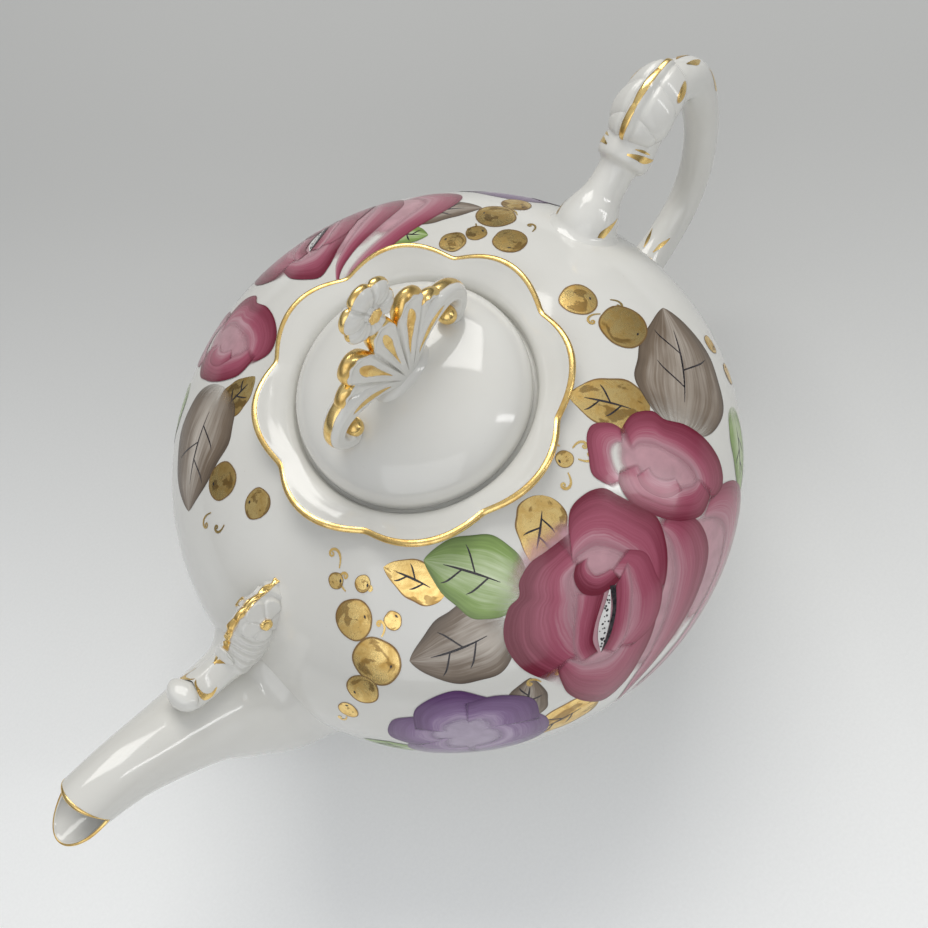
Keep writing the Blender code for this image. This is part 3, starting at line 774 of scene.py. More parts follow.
def across_line(line):
    """Unit vectors square to a flat line of points, to its left."""
    along = unit(np.gradient(line, axis=0))
    return np.column_stack([-along[:, 1], along[:, 0]])


def stroke(piece, lay, path, widths, lift, count=60, columns=5):
    """A drawn line through points in millimetres, with a width at each."""
    rows = smooth_rows(np.column_stack([path, widths]), count)
    half = across_line(rows[:, :2]) * np.maximum(rows[:, 2:3], 0.02) / 2
    u = np.linspace(-1.0, 1.0, columns)[:, None]
    flat = rows[None, :, :2] + u[..., None] * half[None]
    lay_grid(piece, lay, flat, u, np.linspace(0, 1, count)[None], lift)


def leaf(piece, lay, length, width, lift, bend):
    """A leaf along +x about the origin, round at its base, with a bent, pointed tip and a few drawn veins."""
    share = np.linspace(0.0, 1.0, 70)
    half = share**0.5 * (1.0 - share) ** 0.8
    half = half / half.max() * width / 2
    middle = np.column_stack([length * (share - 0.5), bend * length * (share**2 - share * 0.7)])
    u = np.linspace(-1.0, 1.0, 25)[:, None]
    flat = middle[None] + u[..., None] * (across_line(middle) * half[:, None])[None]
    ripple = 1.0 + 0.03 * np.sin(share * 17.0 + length)
    flat[:, :, 1] = middle[None, :, 1] + (flat[:, :, 1] - middle[None, :, 1]) * ripple
    lay_grid(piece, lay, flat, u, share[None], lift)
    stroke("dark_veins", lay, middle[[16, 26, 36, 46, 55]], (0.15, 0.45, 0.6, 0.5, 0.15), lift + LAYER)
    for at, side, reach in ((24, 1, 0.55), (33, -1, 0.6), (42, 1, 0.5)):
        root = middle[at]
        end = root + (0.16 * length, side * reach * width / 2)
        bow = (root + end) / 2 + (0.02 * length, side * 0.06 * width)
        stroke("dark_veins", lay, [root, bow, end], (0.4, 0.45, 0.12), lift + LAYER, 24)


def berry(lay, radius, lift):
    """A round gold berry with a small dark eye."""
    blob("gilt_berries", lay, (0.0, 0.0), radius * (1.0 + rng.uniform(-0.05, 0.05, 10)), lift)
    angle = rng.uniform(0, 2 * math.pi)
    eye = 0.62 * radius * np.array([math.cos(angle), math.sin(angle)])
    lean = np.array([-math.sin(angle), math.cos(angle)]) / 2
    stroke("dark_veins", lay, [eye - lean, eye, eye + lean], (0.1, 0.55, 0.1), lift + LAYER, 12)


def tendril(lay, heading, length, curl, lift):
    """A gold line that runs out and winds into a spiral, to the left if curl is positive."""
    steps, turns, width = 28, 1.35, 0.62
    share = np.linspace(0.0, 1.0, steps)
    angle = math.radians(heading) + np.sign(curl) * turns * 2 * math.pi * share**1.9
    pace = length / steps * (1.0 - 0.78 * share)
    path = np.cumsum(np.column_stack([np.cos(angle), np.sin(angle)]) * pace[:, None], axis=0) * abs(curl)
    widths = width * (0.55 + 0.6 * np.sin(math.pi * np.clip(share * 1.15, 0, 1)))
    widths[-3:] = width * 0.95
    stroke("gilt_tendrils", lay, path, widths, lift, 90)


# Flowers, in millimetres: (inner line, outer line, tone) of each stroke, from the lowest layer up. The open
# rose and the half-open bud share one plane. A wash is (centre, radii round it).
ROSE_STROKES = (
    (((23, -8), (26, -13), (27, -18), (25, -22), (19, -26), (10, -29), (0, -32), (-12, -35), (-24, -40)),
     ((29, -8), (37, -11), (44, -18), (46, -26), (41, -33), (30, -38), (14, -41), (-4, -44), (-24, -46)),
     0.82),
    (((14, 2), (12, -2), (9, -6), (6, -9), (2, -12), (-4, -17), (-12, -23), (-20, -29), (-28, -40)),
     ((15, 4), (21, -3), (23, -8), (21, -15), (16, -20), (5, -25), (-10, -30), (-22, -36), (-30, -45)), 0.92),
    (((-9, 11), (-11, 11), (-13, 10), (-14, 8), (-15, 6), (-16, 4), (-17, 2), (-18, 0), (-19, -3), (-20, -6)),
     ((-4, 20), (-13, 21.5), (-19, 22.5), (-25, 21), (-28, 18), (-33, 17.5), (-38.5, 13.5), (-41, 8),
      (-40.5, 0.5), (-36, -8)), 1.08),
    (((-28, -4), (-26, -6), (-24, -8), (-21, -9), (-18, -9.5), (-15, -9.5), (-12, -9), (-9, -8), (-5, -6)),
     ((-32, -4), (-34, -9), (-35, -15), (-33, -23), (-29, -29), (-21.5, -27), (-14, -22), (-8, -18),
      (-2, -13)),
     1.0),
    (((-11, 13), (-9, 13), (-5, 12), (-3, 10), (-1, 7), (0, 4), (0, 1), (0, -2), (-1, -4), (-3, -6)),
     ((-6, 19), (1, 24), (8, 23.5), (12.5, 20.5), (13.5, 16), (14.5, 10), (15.5, 4), (12, -2), (7, -7),
      (1, -11)), 1.02),
    (((-7, 5), (-6, 3), (-7, 0), (-10, -4), (-14, -7), (-19, -9)),
     ((3, 6), (6, 1), (4, -5), (2, -10), (-5, -15), (-14, -15)), 0.72),
    (((-15, 9), (-19, 5), (-23, 1), (-26, -3), (-27, -8)),
     ((-8.5, 3), (-13, 0.5), (-17, -2), (-20, -5), (-21, -9)), 1.0),
    (((2, 4), (-2, -2), (-7, -7), (-12, -11), (-18, -13)),
     ((-5, 2), (-8, 0), (-12, -3.5), (-16, -7), (-20, -9)), 0.9),
    (((-5, 12), (-6.5, 11), (-7, 9.5), (-7, 8), (-5.5, 7), (-3, 6)),
     ((-9, 13.5), (-12.5, 11), (-13.5, 7), (-11, 3.6), (-7, 2.2), (-3, 2)), 1.35),
)
ROSE_WASHES = (
    ((-8, -6), (30, 26, 30, 36, 34, 30, 22, 24, 26, 26)),
    ((24, -22), (19, 15, 12, 20, 24, 24, 24, 16, 14, 17)),
)
BUD_STROKES = (
    (((28, 23), (27, 24), (25, 24), (23, 23), (21, 21), (20, 19), (19, 16)),
     ((33, 25), (33, 30), (29.5, 34.5), (24.5, 34), (18.5, 29.5), (14, 25), (14.5, 18)), 0.86),
    (((27, 19), (30, 18), (32, 15), (33, 12), (33, 8), (33, 4), (32, 1), (30, -1), (27, -2)),
     ((31, 26), (40, 25.5), (45, 20.5), (44.5, 15.5), (47, 8.5), (47, 0), (44, -8), (38, -12), (30, -9)),
     1.0),
    (((26, 16), (25, 14), (24, 12), (24, 9), (25, 6), (27, 4), (29, 2), (31, 0), (34, -1)),
     ((21, 20), (16.5, 17.5), (14, 12), (15, 6.5), (16.5, 2), (19.5, -3), (24, -7.5), (28, -8.5), (34, -8)),
     1.02),
    (((27, 13), (26, 11), (26, 9), (27, 7), (29, 5)), ((22, 15), (20, 12), (20, 8), (22, 4), (27, 1)), 0.7),
)
BUD_WASHES = (((29, 10), (15, 15, 17, 15, 12, 13, 15, 16, 15, 14)),)
VIOLET_STROKES = (
    (((4, -2), (6, -4), (6, -7), (3, -9), (-2, -10)),
     ((19, 1), (22, -8), (18, -17), (8, -22), (-6, -22)), 0.9),
    (((-3, -3), (-5, -5), (-5, -8), (-2, -9)), ((-14, -1), (-20, -8), (-17, -18), (-4, -22)), 0.85),
    (((-4, 1), (-6, 1), (-7, -1), (-6, -3)), ((-10, 9), (-18, 8), (-22, 0), (-16, -7)), 0.95),
    (((3, 2), (0, 3), (-3, 2), (-4, 0)), ((12, 9), (3, 15), (-9, 12), (-13, 3)), 1.0),
    (((5, -1), (5, 1), (4, 2), (2, 2)), ((20, -7), (22, 3), (14, 9), (4, 10)), 0.95),
)
VIOLET_WASHES = (((0, -4), (16, 14, 13, 13, 15, 15, 16, 16)),)
ROSE_PIVOT = (-8.0, 5.0)
BUD_PIVOT = (26.0, 11.0)

# Slit at the rose's heart, white with black seeds, and the dark line along it: path and widths.
SLIT_PATH = ((-7.5, 2.2), (-11, -0.6), (-14.5, -3.2), (-17.5, -5.8), (-20.2, -8.8))
SLIT_WIDTHS = (0.3, 1.9, 3.0, 2.3, 0.2)
SLIT_EDGE = ((-6.2, 2.4), (-9.8, -2.0), (-13.6, -5.0), (-16.8, -7.2), (-20.4, -9.2))
SLIT_EDGE_WIDTHS = (1.6, 1.0, 1.1, 0.8, 0.1)

# Where the flowers lie: (azimuth, latitude, turn, scale, spot of the flower's own plane that lies there).
VIOLETS = ((-46, 14, 10, 1.0), (112, 12, 150, 0.85))
NEAR_ROSE = (-2, 27, 0, 1.0)
FAR_ROSE = (157, 24, 197, 0.86, ROSE_PIVOT)
FAR_BUD = (-163, 32, 150, 0.92, BUD_PIVOT)

# Leaves: (piece, azimuth, latitude, turn of the tip, length, width, bend).
LEAVES = (
    ("taupe_leaves", 46, 28, -8, 40, 30, 0.16),
    ("taupe_leaves", -42, 32, 193, 28, 20, -0.16),
    ("taupe_leaves", -33, 18, 60, 15, 12, 0.10),
    ("taupe_leaves", -136, 32, -30, 38, 28, 0.14),
    ("taupe_leaves", 125, 35, 197, 26, 13, -0.18),
    ("taupe_leaves", 177, 11, 262, 30, 18, 0.12),
    ("green_leaves", -34, 44, 143, 26, 20, 0.16),
    ("green_leaves", 33, 11, 200, 26, 13, -0.10),
    ("green_leaves", -61, 5, 170, 17, 9, 0.14),
    ("green_leaves", 133, 43, 160, 13, 9, 0.10),
    ("green_leaves", -149, 15.5, 316, 25, 14, -0.12),
    ("gilt_leaves", 33, 44, 84, 21, 15, 0.10),
    ("gilt_leaves", -11, 45, 220, 17, 13, -0.10),
    ("gilt_leaves", -29, 8, 190, 24, 14, 0.14),
    ("gilt_leaves", -51, 45, 152, 17, 10, 0.16),
    ("gilt_leaves", -147, 43, 130, 15, 11, 0.10),
    ("gilt_leaves", 118, 12, 250, 20, 12, 0.12),
)
# Berries: (azimuth, latitude, radius in millimetres).
BERRIES = (
    (69, 44, 5.2), (57, 38, 6.8), (54, 16, 3.0), (49, 11, 3.4), (-67, 36.5, 5.2), (-61, 29.5, 6.6),
    (-64, 23.2, 4.6), (-67.5, 17, 3.0), (-74, 42.5, 2.1), (-66, 43.5, 2.2), (-57, 37.5, 2.4), (11, 49.5, 2.3),
    (-122.5, 38, 5.3), (-109, 44, 4.2), (109, 35, 6.0), (107, 27.5, 4.6), (100, 42, 5.0), (111, 42.5, 3.2),
    (117, 46.5, 4.0),
)
# Tendrils: (azimuth, latitude, heading, length, curl).
TENDRILS = (
    (62, 41, 75, 15, 1.0), (66, 38, 250, 12, -1.0), (-74, 44.5, 95, 17, 1.0), (-70, 41, 150, 15, -1.0),
    (-66, 41.5, 75, 11, -0.9), (-60, 34, 60, 13, 1.0), (-68, 15, 260, 11, -1.0), (14, 51, 75, 15, 1.0),
    (15, 49, -10, 12, -1.0), (13, 47.5, 275, 13, 1.0), (8, 48, 235, 14, -1.0), (-29, 20.5, 120, 12, 1.0),
    (-28, 21, 40, 11, -1.0), (-117, 33, 250, 16, 1.0), (-112, 35, 290, 13, -1.0), (104, 33, 300, 14, 1.0),
    (113, 39, 120, 13, -1.0), (97, 37, 270, 13, 1.0),
)
# Gold touches on one side of the handle and of the crest, repeated on the other: (share of its length, turn
# round it, path along and round it in millimetres, widths).
HANDLE_TOUCHES = (
    (0.100, 160, ((-3.4, -2.4), (-1.2, -1.8), (1.6, 0.4), (4.4, 3.6)), (1.3, 2.3, 1.3, 0.2)),
    (0.204, 150, ((-0.5, -5), (0.2, -2), (0.7, 1), (2.2, 6)), (0.5, 1.5, 2.0, 0.3)),
    (0.216, 146, ((-0.3, -3), (0.2, -0.5), (0.4, 2.5)), (0.2, 0.8, 0.2)),
    (0.350, 106, ((-3.4, 0), (0, 0.7), (3.4, 0)), (0.4, 2.0, 0.4)),
    (0.415, 141, ((-5.5, -1.4), (-1, 0), (3, 0.7), (5.5, 1)), (0.3, 1.7, 2.1, 0.4)),
    (0.800, 243, ((-4.4, -1.4), (0, 0), (4.4, 1)), (0.3, 1.5, 0.3)),
)
CREST_TOUCHES = (
    (0.865, 228, ((-5, -2.6), (-2.4, -3.2), (0, -2.0), (0.8, 0.6), (-0.6, 3.0)), (0.3, 1.2, 1.6, 1.4, 0.3)),
    (0.665, 262, ((-1, -2.6), (0.3, -0.6), (1.6, 1.6)), (0.3, 1.3, 0.3)),
)
HANDLE_TOP = 90
CREST_TOP = 270


def paint_flower(colour, kind, washes, strokes, spot, base):
    """Washes, then the strokes in layers. Gives the flower's lay and the lift above its last layer."""
    lay = on_belly(*spot)
    for under, (centre, radii) in enumerate(washes):
        blob(f"{colour}_washes", lay, centre, radii, base - 0.02 * under)
    for layer, (inner, outer, tone) in enumerate(strokes):
        petal(kind, lay, inner, outer, base + LAYER * (layer + 1), tone)
    return lay, base + LAYER * (len(strokes) + 1)


def paint_bud(spot):
    paint_flower("rose", "magenta_roses", BUD_WASHES, BUD_STROKES, spot, 0.14)


def paint_rose(spot):
    lay, top = paint_flower("rose", "magenta_roses", ROSE_WASHES, ROSE_STROKES, spot, 0.10)
    stroke("rose_hearts", lay, SLIT_PATH, SLIT_WIDTHS, top, 40)
    stroke("dark_veins", lay, SLIT_EDGE, SLIT_EDGE_WIDTHS, top + 0.05, 40)
    for x, y, width in smooth_rows(np.column_stack([SLIT_PATH, SLIT_WIDTHS]), 30)[3:27]:
        x += rng.uniform(-0.36, 0.36) * width
        y += rng.uniform(-0.30, 0.30) * width
        radii = rng.uniform(0.16, 0.34) * (1.0 + rng.uniform(-0.3, 0.3, 6))
        blob("dark_veins", lay, (x, y), radii, top + LAYER, 3, 14)


def paint_belly():
    for spot in VIOLETS:
        paint_flower("violet", "violet_flowers", VIOLET_WASHES, VIOLET_STROKES, spot, 0.04)
    for index, (piece, azimuth, latitude, turn, length, width, bend) in enumerate(LEAVES):
        lift = 0.03 if piece == "gilt_leaves" else 0.05 + 0.004 * index
        leaf(piece, on_belly(azimuth, latitude, turn), length, width, lift, bend)
    paint_rose(NEAR_ROSE)
    paint_bud(NEAR_ROSE)
    paint_rose(FAR_ROSE)
    paint_bud(FAR_BUD)
    for azimuth, latitude, radius in BERRIES:
        berry(on_belly(azimuth, latitude), radius, 0.12)
    for azimuth, latitude, heading, length, curl in TENDRILS:
        tendril(on_belly(azimuth, latitude), heading, length, curl, 0.10)


def paint_touches(piece, tube, touches, ridge):
    """Strokes on one side of a swept form and their mirror images. ridge is the turn of its top."""
    for place, turn, path, widths in touches:
        for side in (1, -1):
            lay = tube.on(place, ridge + side * (turn - ridge))
            stroke(piece, lay, np.array(path) * (1, side), widths, 0.06, 60, 9)


def finish_films(looks):
    """Join the queued sheets into one object for each painted piece."""
    for piece, sheets in SHEETS.items():
        start = 0
        faces = []
        for points, quads, _, _ in sheets:
            faces += (quads + start).tolist()
            start += points.shape[0] * points.shape[1]
        points, brush = (np.vstack([sheet[part].reshape(-1, 3) for sheet in sheets]) for part in (0, 2))
        tone = np.concatenate([sheet[3].ravel() for sheet in sheets])
        slot, look = looks[piece]
        mesh_object(piece, slot, look, points, faces, {"brush": brush, "tone": tone})


# ---------------------------------------------------------------- the pot
def make_belly(look):
    """Belly with its inner wall and floor, and the strainer bored through it."""
    chain = []
    for inset, floor in ((0.0, BASE_HEIGHT), (WALL, BASE_HEIGHT + WALL)):
        radius = BELLY_RADIUS - inset
        top = math.degrees(math.acos((OPENING_RADIUS / radius) ** (CROWN_POWER / 2)))
        low = math.degrees(math.asin((BELLY_HEIGHT - floor) / (KEEL_DROP - inset)))
        upper = superellipse(radius, CROWN_RISE - inset, CROWN_POWER, top, 0.0, 90)
        lower = superellipse(radius, KEEL_DROP - inset, KEEL_POWER, 0.0, low, 90)[1:] * (1, -1)
        floor_rows = [(lower[-1, 0] * share, floor) for share in (0.97, 0.8, 0.6, 0.4, 0.2, 0.05, 0.004)]
        rows = np.vstack([upper + (0, BELLY_HEIGHT), lower + (0, BELLY_HEIGHT), floor_rows])
        chain.append(rows if inset == 0 else rows[::-1])
    made = skin_object("belly", "body_shell", look, revolve(np.vstack(chain), BELLY_STEPS), WELD, True)
    close_axis(made.data, BASE_HEIGHT + WALL / 2)
    bore_strainer(made)


def bore_strainer(belly):
    """A hexagon of holes, round one in the middle, through the wall behind the spout."""
    around = [(math.cos(angle), math.sin(angle)) for angle in circle(STRAINER_RING)]
    turn = circle(32)
    bars = bpy.data.meshes.new("strainer_bars")
    points, faces = [], []
    for y, z in [(0.0, 0.0)] + around:
        first = len(points)
        across = STRAINER_PITCH * y + STRAINER_RADIUS * np.cos(turn)
        height = STRAINER_HEIGHT + STRAINER_PITCH * z + STRAINER_RADIUS * np.sin(turn)
        for x in STRAINER_BAR_ENDS:
            points += [(x, *spot) for spot in zip(across, height)]
        faces += (grid_faces(2, len(turn), False, True) + first).tolist()
        faces += [range(first, first + len(turn)), range(first + len(turn), first + 2 * len(turn))]
    bars.from_pydata(points, [], faces)
    rebuild(bars, 0.0, (), True)
    cutter = link("strainer_bars", bars)
    boolean = belly.modifiers.new("cut", "BOOLEAN")
    boolean.operation = "DIFFERENCE"
    boolean.solver = "EXACT"
    boolean.object = cutter
    bpy.context.view_layer.update()
    cut = bpy.data.meshes.new_from_object(belly.evaluated_get(bpy.context.evaluated_depsgraph_get()))
    belly.modifiers.remove(boolean)
    belly.data = cut
    bpy.data.objects.remove(cutter)


def make_foot(look):
    outer, top = FOOT_HIGH[0], FOOT_HIGH[2]
    waist = (outer - FOOT_WAIST, top * 0.55)
    rows = [(FOOT_INNER, top), (FOOT_INNER, 0.0), (outer, 0.0), waist, (outer, top)]
    rows = rounded(rows, (0.0, FOOT_ROUND, FOOT_ROUND, 0.0016, 0.0))
    skin_object("foot", "foot_ring", look, revolve(rows, BELLY_STEPS), WELD, True)


def lobe_wave(turn):
    """Scallops: round crests with a soft notch between them."""
    return 2.0 * (np.sqrt(np.cos(COLLAR_LOBES * turn / 2) ** 2 + 0.012) - 0.11) / 0.896 - 1.0


def flare_rows(count, start=0.0, end=len(FLARE_ROWS) - 1.0, lift=0.0):
    """World rows of the flare between two places on its section, offset outwards by lift."""
    dense = smooth_rows(FLARE_ROWS, 1400)
    place = np.linspace(0.0, len(FLARE_ROWS) - 1.0, 1400)
    picked = np.column_stack([np.interp(np.linspace(start, end, count), place, column) for column in dense.T])
    picked[:, :2] += across_line(picked[:, :2]) * lift
    return picked * (1, 1, LOBE_REACH, LOBE_RISE) + (0, LEDGE_HEIGHT, 0, 0)


def make_collar(look, gold):
    hole = (HOLE_RADIUS, LEDGE_UNDER), (HOLE_RADIUS, LEDGE_HEIGHT), (LEDGE_RADIUS, LEDGE_HEIGHT)
    bevel = 0.0004
    under = [(PLUG_RADIUS, LEDGE_UNDER), (HOLE_RADIUS + bevel, LEDGE_UNDER)]
    under.append((HOLE_RADIUS, LEDGE_UNDER + bevel))
    flat = np.linspace(HOLE_RADIUS + 0.0008, LEDGE_RADIUS - 0.0002, 14)
    rows = np.vstack([under, corner(*hole, 0.0005), [(radius, LEDGE_HEIGHT) for radius in flat]])
    chain = np.vstack([np.hstack([rows, 0 * rows]), flare_rows(120)])
    skin_object("collar", "mouth_collar", look, revolve(chain, COLLAR_STEPS, lobe_wave), WELD, True)
    band = np.vstack([flare_rows(26, *LIP_BAND, 0.00007), flare_rows(26, *LIP_BAND, -GILT_BELOW)[::-1]])
    line = revolve(band, COLLAR_STEPS, lobe_wave)
    skin_object("collar_gilt_line", "mouth_collar", gold, line, FILM_WELD, True, stands_in=False)


def beak_slope():
    """Unit vector down the beak's trimming plane, as (reach, height)."""
    return unit(np.array(BEAK_LOWER) - BEAK_UPPER)


def beak_height(points):
    """Distance of points past the plane that trims the beak."""
    reach, height = beak_slope()
    flat = np.stack([-points[..., 0], points[..., 2] - BELLY_HEIGHT], axis=-1)
    return (flat - np.array(BEAK_UPPER) * BELLY_RADIUS) @ (-height, reach)


def trimmed(tube, turn, rows, to_beak):
    """Grid of places: per column, from just under the belly's skin to the beak or to the far root."""
    near, far = 0 * turn, 0 * turn + 1
    start = bisect(lambda place: skin_depth(tube.at(place, turn)) > -ROOT_SINK, near, near + 0.42)
    if to_beak:
        down = np.sin(turn)
        mouth = LIP_TONGUE * np.clip(down, 0.0, 1.0) + LIP_BROW * np.clip(-down, 0.0, 1.0)
        mouth -= LIP_CORNER * (1.0 - np.abs(down)) + LIP_SETBACK
        end = bisect(lambda place: beak_height(tube.at(place, turn)) > mouth, near + 0.5, far)
    else:
        end = bisect(lambda place: skin_depth(tube.at(place, turn)) < -ROOT_SINK, near + 0.6, far)
    share = np.linspace(0.0, 1.0, rows)[:, None]
    share = share - 0.10 * np.sin(2 * math.pi * share) / math.pi
    return start * (1 - share) + end * share


def make_spout(look, gold):
    """Hollow spout with a rounded, slanting lip, gold over the lip's outer half."""
    turn = circle(SPOUT_STEPS)
    rows = belly_rows(SPOUT_ROWS, -1)
    outer = Tube(rows)
    rows[:, 2:] -= SPOUT_WALL
    rows[-len(BEAK_THINNING):, 2:] += np.array(BEAK_THINNING)[:, None]
    inner = Tube(rows)
    place = trimmed(outer, turn, 260, True)
    skin = flare(outer.at(place, turn), outer.centres(place), SPOUT_FILLET)
    bore = inner.at(trimmed(inner, turn, 130, True), turn)
    middle = (skin[-1] + bore[-1]) / 2
    reach, height = beak_slope()
    angles = np.linspace(0.0, math.pi, 12)[:, None, None]
    bow = np.array([height, 0.0, reach]) * LIP_SETBACK * np.sin(angles)
    lip = middle + (skin[-1] - middle) * np.cos(angles) + bow
    grid = np.concatenate([skin[:-1], lip, bore[-2::-1]])
    skin_object("spout_tube", "spout", look, grid, FINE_WELD, True)
    band = lip[:8]
    away = unit(band - middle)
    grid = np.concatenate([band + away * GILT_ABOVE, (band - away * GILT_BELOW)[::-1]])
    skin_object("spout_gilt_lip", "spout", gold, grid, FILM_WELD, True, stands_in=False)


def make_handle(look):
    turn = circle(HANDLE_STEPS)
    tube = Tube(belly_rows(HANDLE_ROWS, 1))
    place = trimmed(tube, turn, 460, False)
    skin = flare(tube.at(place, turn), tube.centres(place), HANDLE_FILLET)
    skin_object("handle_loop", "handle", look, skin)
    return tube


def ornament(name, slot, look, tube, relief, count, steps, ends):
    """A closed relief swept along a tube. relief(along, turn, depth) gives (swell, gild)."""
    eased = (1.0 - np.cos(np.linspace(0.0, math.pi, count))) / 2
    share = eased * 0.35 + np.linspace(0.0, 1.0, count) * 0.65
    place, turn = np.meshgrid(share, circle(steps), indexing="ij")
    cap = bulge(place / ends[0]) * bulge((1 - place) / ends[1])
    swell, gild = relief(place * tube.length, turn, tube.sample(place)[3])
    points = tube.at(place, turn, swell * cap, np.maximum(cap, 0.02))
    skin_object(name, slot, look, points, gild=np.clip(gild, -1, 1))


def daisy(a, b, radius, petals, start):
    """(relief height 0-1, distance inside the eye) of a small flower at offsets a, b in metres."""
    far = np.hypot(a, b)
    wave = np.abs(np.cos(petals * (np.arctan2(b, a) + start) / 2))
    edge = radius * (0.74 + 0.26 * wave**0.6)
    crease = 1.0 - 0.55 * hill(wave, 0.28) * soft(far - 0.22 * radius, 0.0005)
    cup = 0.75 + 0.25 * np.cos(math.pi * np.clip(far / radius, 0, 1) * 1.5)
    eye = 0.27 * radius - far
    return soft(edge - far, 0.0004) * crease * cup + 0.7 * soft(eye, 0.0003), eye


def crest_relief(along, turn, depth):
    """Beaded gilt ridge on top, a five-petal flower over curved ribs on each side, and a bead behind."""
    top = -np.sin(turn)
    a, b = along - CREST_FLOWER[0], depth * top - CREST_FLOWER[1]
    beads = np.abs(np.sin(math.pi * along / 0.0033)) ** 0.7 * (0.75 + 0.25 * np.sin(along * 1300.0))
    swell = 0.0007 * beads * hill(1 - top, 0.14) * soft(CREST_RIDGE_END - along, 0.002)
    side = soft(np.abs(np.cos(turn)) - 0.22, 0.18)
    flower, eye = daisy(a, b, CREST_FLOWER_RADIUS, 5, 0.5)
    far = np.hypot(a, b)
    ribs = (0.5 + 0.5 * np.cos(2 * math.pi * far / 0.0025)) * soft(far - CREST_FLOWER_RADIUS - 0.0004, 0.0006)
    swell += (0.0012 * flower + 0.0006 * ribs * soft(CREST_BEAD - along, 0.0012)) * side
    bead = np.clip(1 - ((along - CREST_BEAD) / 0.0025) ** 2 - (1 - top) / 0.5, 0, 1)
    swell += 0.0020 * np.sqrt(bead)
    gold = np.where(along < CREST_RIDGE_END, 0.50 - (1 - top) / 0.17 - 0.12 * (1 - beads), -1.0)
    return swell, np.maximum(gold, np.where(side > 0.3, eye / 0.0010, -1.0))


def leaf_relief(along, turn, depth):
    """Acanthus saddle: broad lobes along each side, a thin wavy gilt ridge along the top."""
    top = np.sin(turn)
    wave = np.abs(np.sin(math.pi * along / 0.0105 + 0.4))
    lobes = np.abs(np.cos(math.pi * (along - 0.35 * depth * top) / 0.0092)) ** 0.6
    swell = (0.0005 + 0.0006 * wave) * hill(1 - top, 0.05) + 0.0008 * lobes * soft(0.90 - top, 0.12)
    swell -= 0.0005 * hill(0.88 - top, 0.05)
    drop = np.hypot(0.42 * (along - 0.0190), depth * (top - 0.25) * 1.3)
    return swell, np.maximum(0.62 - (1 - top) / 0.028 - 0.25 * (1 - wave), (0.0013 - drop) / 0.0010)


def volute_relief(along, turn, depth):
    """Volute arm with a gilt outer edge and a gilt stroke on each face."""
    face = np.abs(np.cos(turn))
    swell = -0.0004 * np.exp(-((face**2 - 1) ** 2) / 0.02) * soft(along - 0.004, 0.002)
    stripe = (face - 0.965 - 0.035 * ((along - 0.0105) / 0.0068) ** 2) / 0.03
    return swell, np.maximum(0.5 - (1 - np.sin(turn)) / 0.18, stripe)


def ball(name, slot, look, centre, radius, squash, gold):
    """A small closed round form."""
    tilt, turn = np.meshgrid(np.linspace(0.0, math.pi, 26), circle(48), indexing="ij")
    ray = np.stack([np.sin(tilt) * np.cos(turn), np.sin(tilt) * np.sin(turn), np.cos(tilt)], axis=-1)
    points = ray * squash * radius + centre
    skin_object(name, slot, look, points, FINE_WELD, gild=np.full(tilt.shape, gold), stands_in=False)


# ---------------------------------------------------------------- the lid
def make_dome(look, bisque):
    edge = DOME_SEAT + DOME_EDGE
    rise = DOME_TOP - edge
    outside = superellipse(DOME_RADIUS, rise, DOME_POWER, 89.6, 0.0, 90) + (0, edge)
    inside = superellipse(DOME_INNER, rise - WALL, DOME_POWER, 0.0, 89.6, 60) + (0, edge)
    under = corner((DOME_RADIUS, edge), (DOME_RADIUS, DOME_SEAT), (DOME_INNER, DOME_SEAT), 0.0011)
    rows = np.vstack([outside[:-1], under, [(DOME_INNER + 0.0006, DOME_SEAT)], inside])
    made = skin_object("dome", "lid_dome", look, revolve(rows, LID_STEPS), ring=True)
    close_axis(made.data, DOME_TOP - WALL / 2)
    outer, top, low = FLANGE_HIGH[0], FLANGE_HIGH[2], FLANGE_LOW[2]
    rows = [(outer, top), (outer - 0.0002, low), (FLANGE_INNER, low), (FLANGE_INNER, top)]
    rows = rounded(rows, (0.0, 0.0008, 0.0008, 0.0))
    skin_object("flange", "lid_flange", bisque, revolve(rows, LID_STEPS), WELD, True)


def feather_at(lean):
    """(length, distance from its middle line -1..1, index) of the palmette's feather at leans in degrees."""
    centres, lengths = np.array(FEATHERS).T
    edges = np.append((centres[1:] + centres[:-1]) / 2.0, FAN_SPREAD)
    index = np.minimum(np.searchsorted(edges, np.abs(lean)), len(centres) - 1)
    across = (np.abs(lean) - centres[index]) / (edges[index] - centres[index])
    return lengths[index], np.clip(across, -1.0, 1.0), index


def two_faced(front, gold, columns):
    """Grid and gild of a form with a front and its mirror image behind, joined along rows or columns."""
    back = front * (1, -1, 1)
    if columns:
        return np.concatenate([front, back[:, ::-1]], axis=1), np.concatenate([gold, gold[:, ::-1]], axis=1)
    return np.concatenate([front, back[::-1]]), np.concatenate([gold, gold[::-1]])


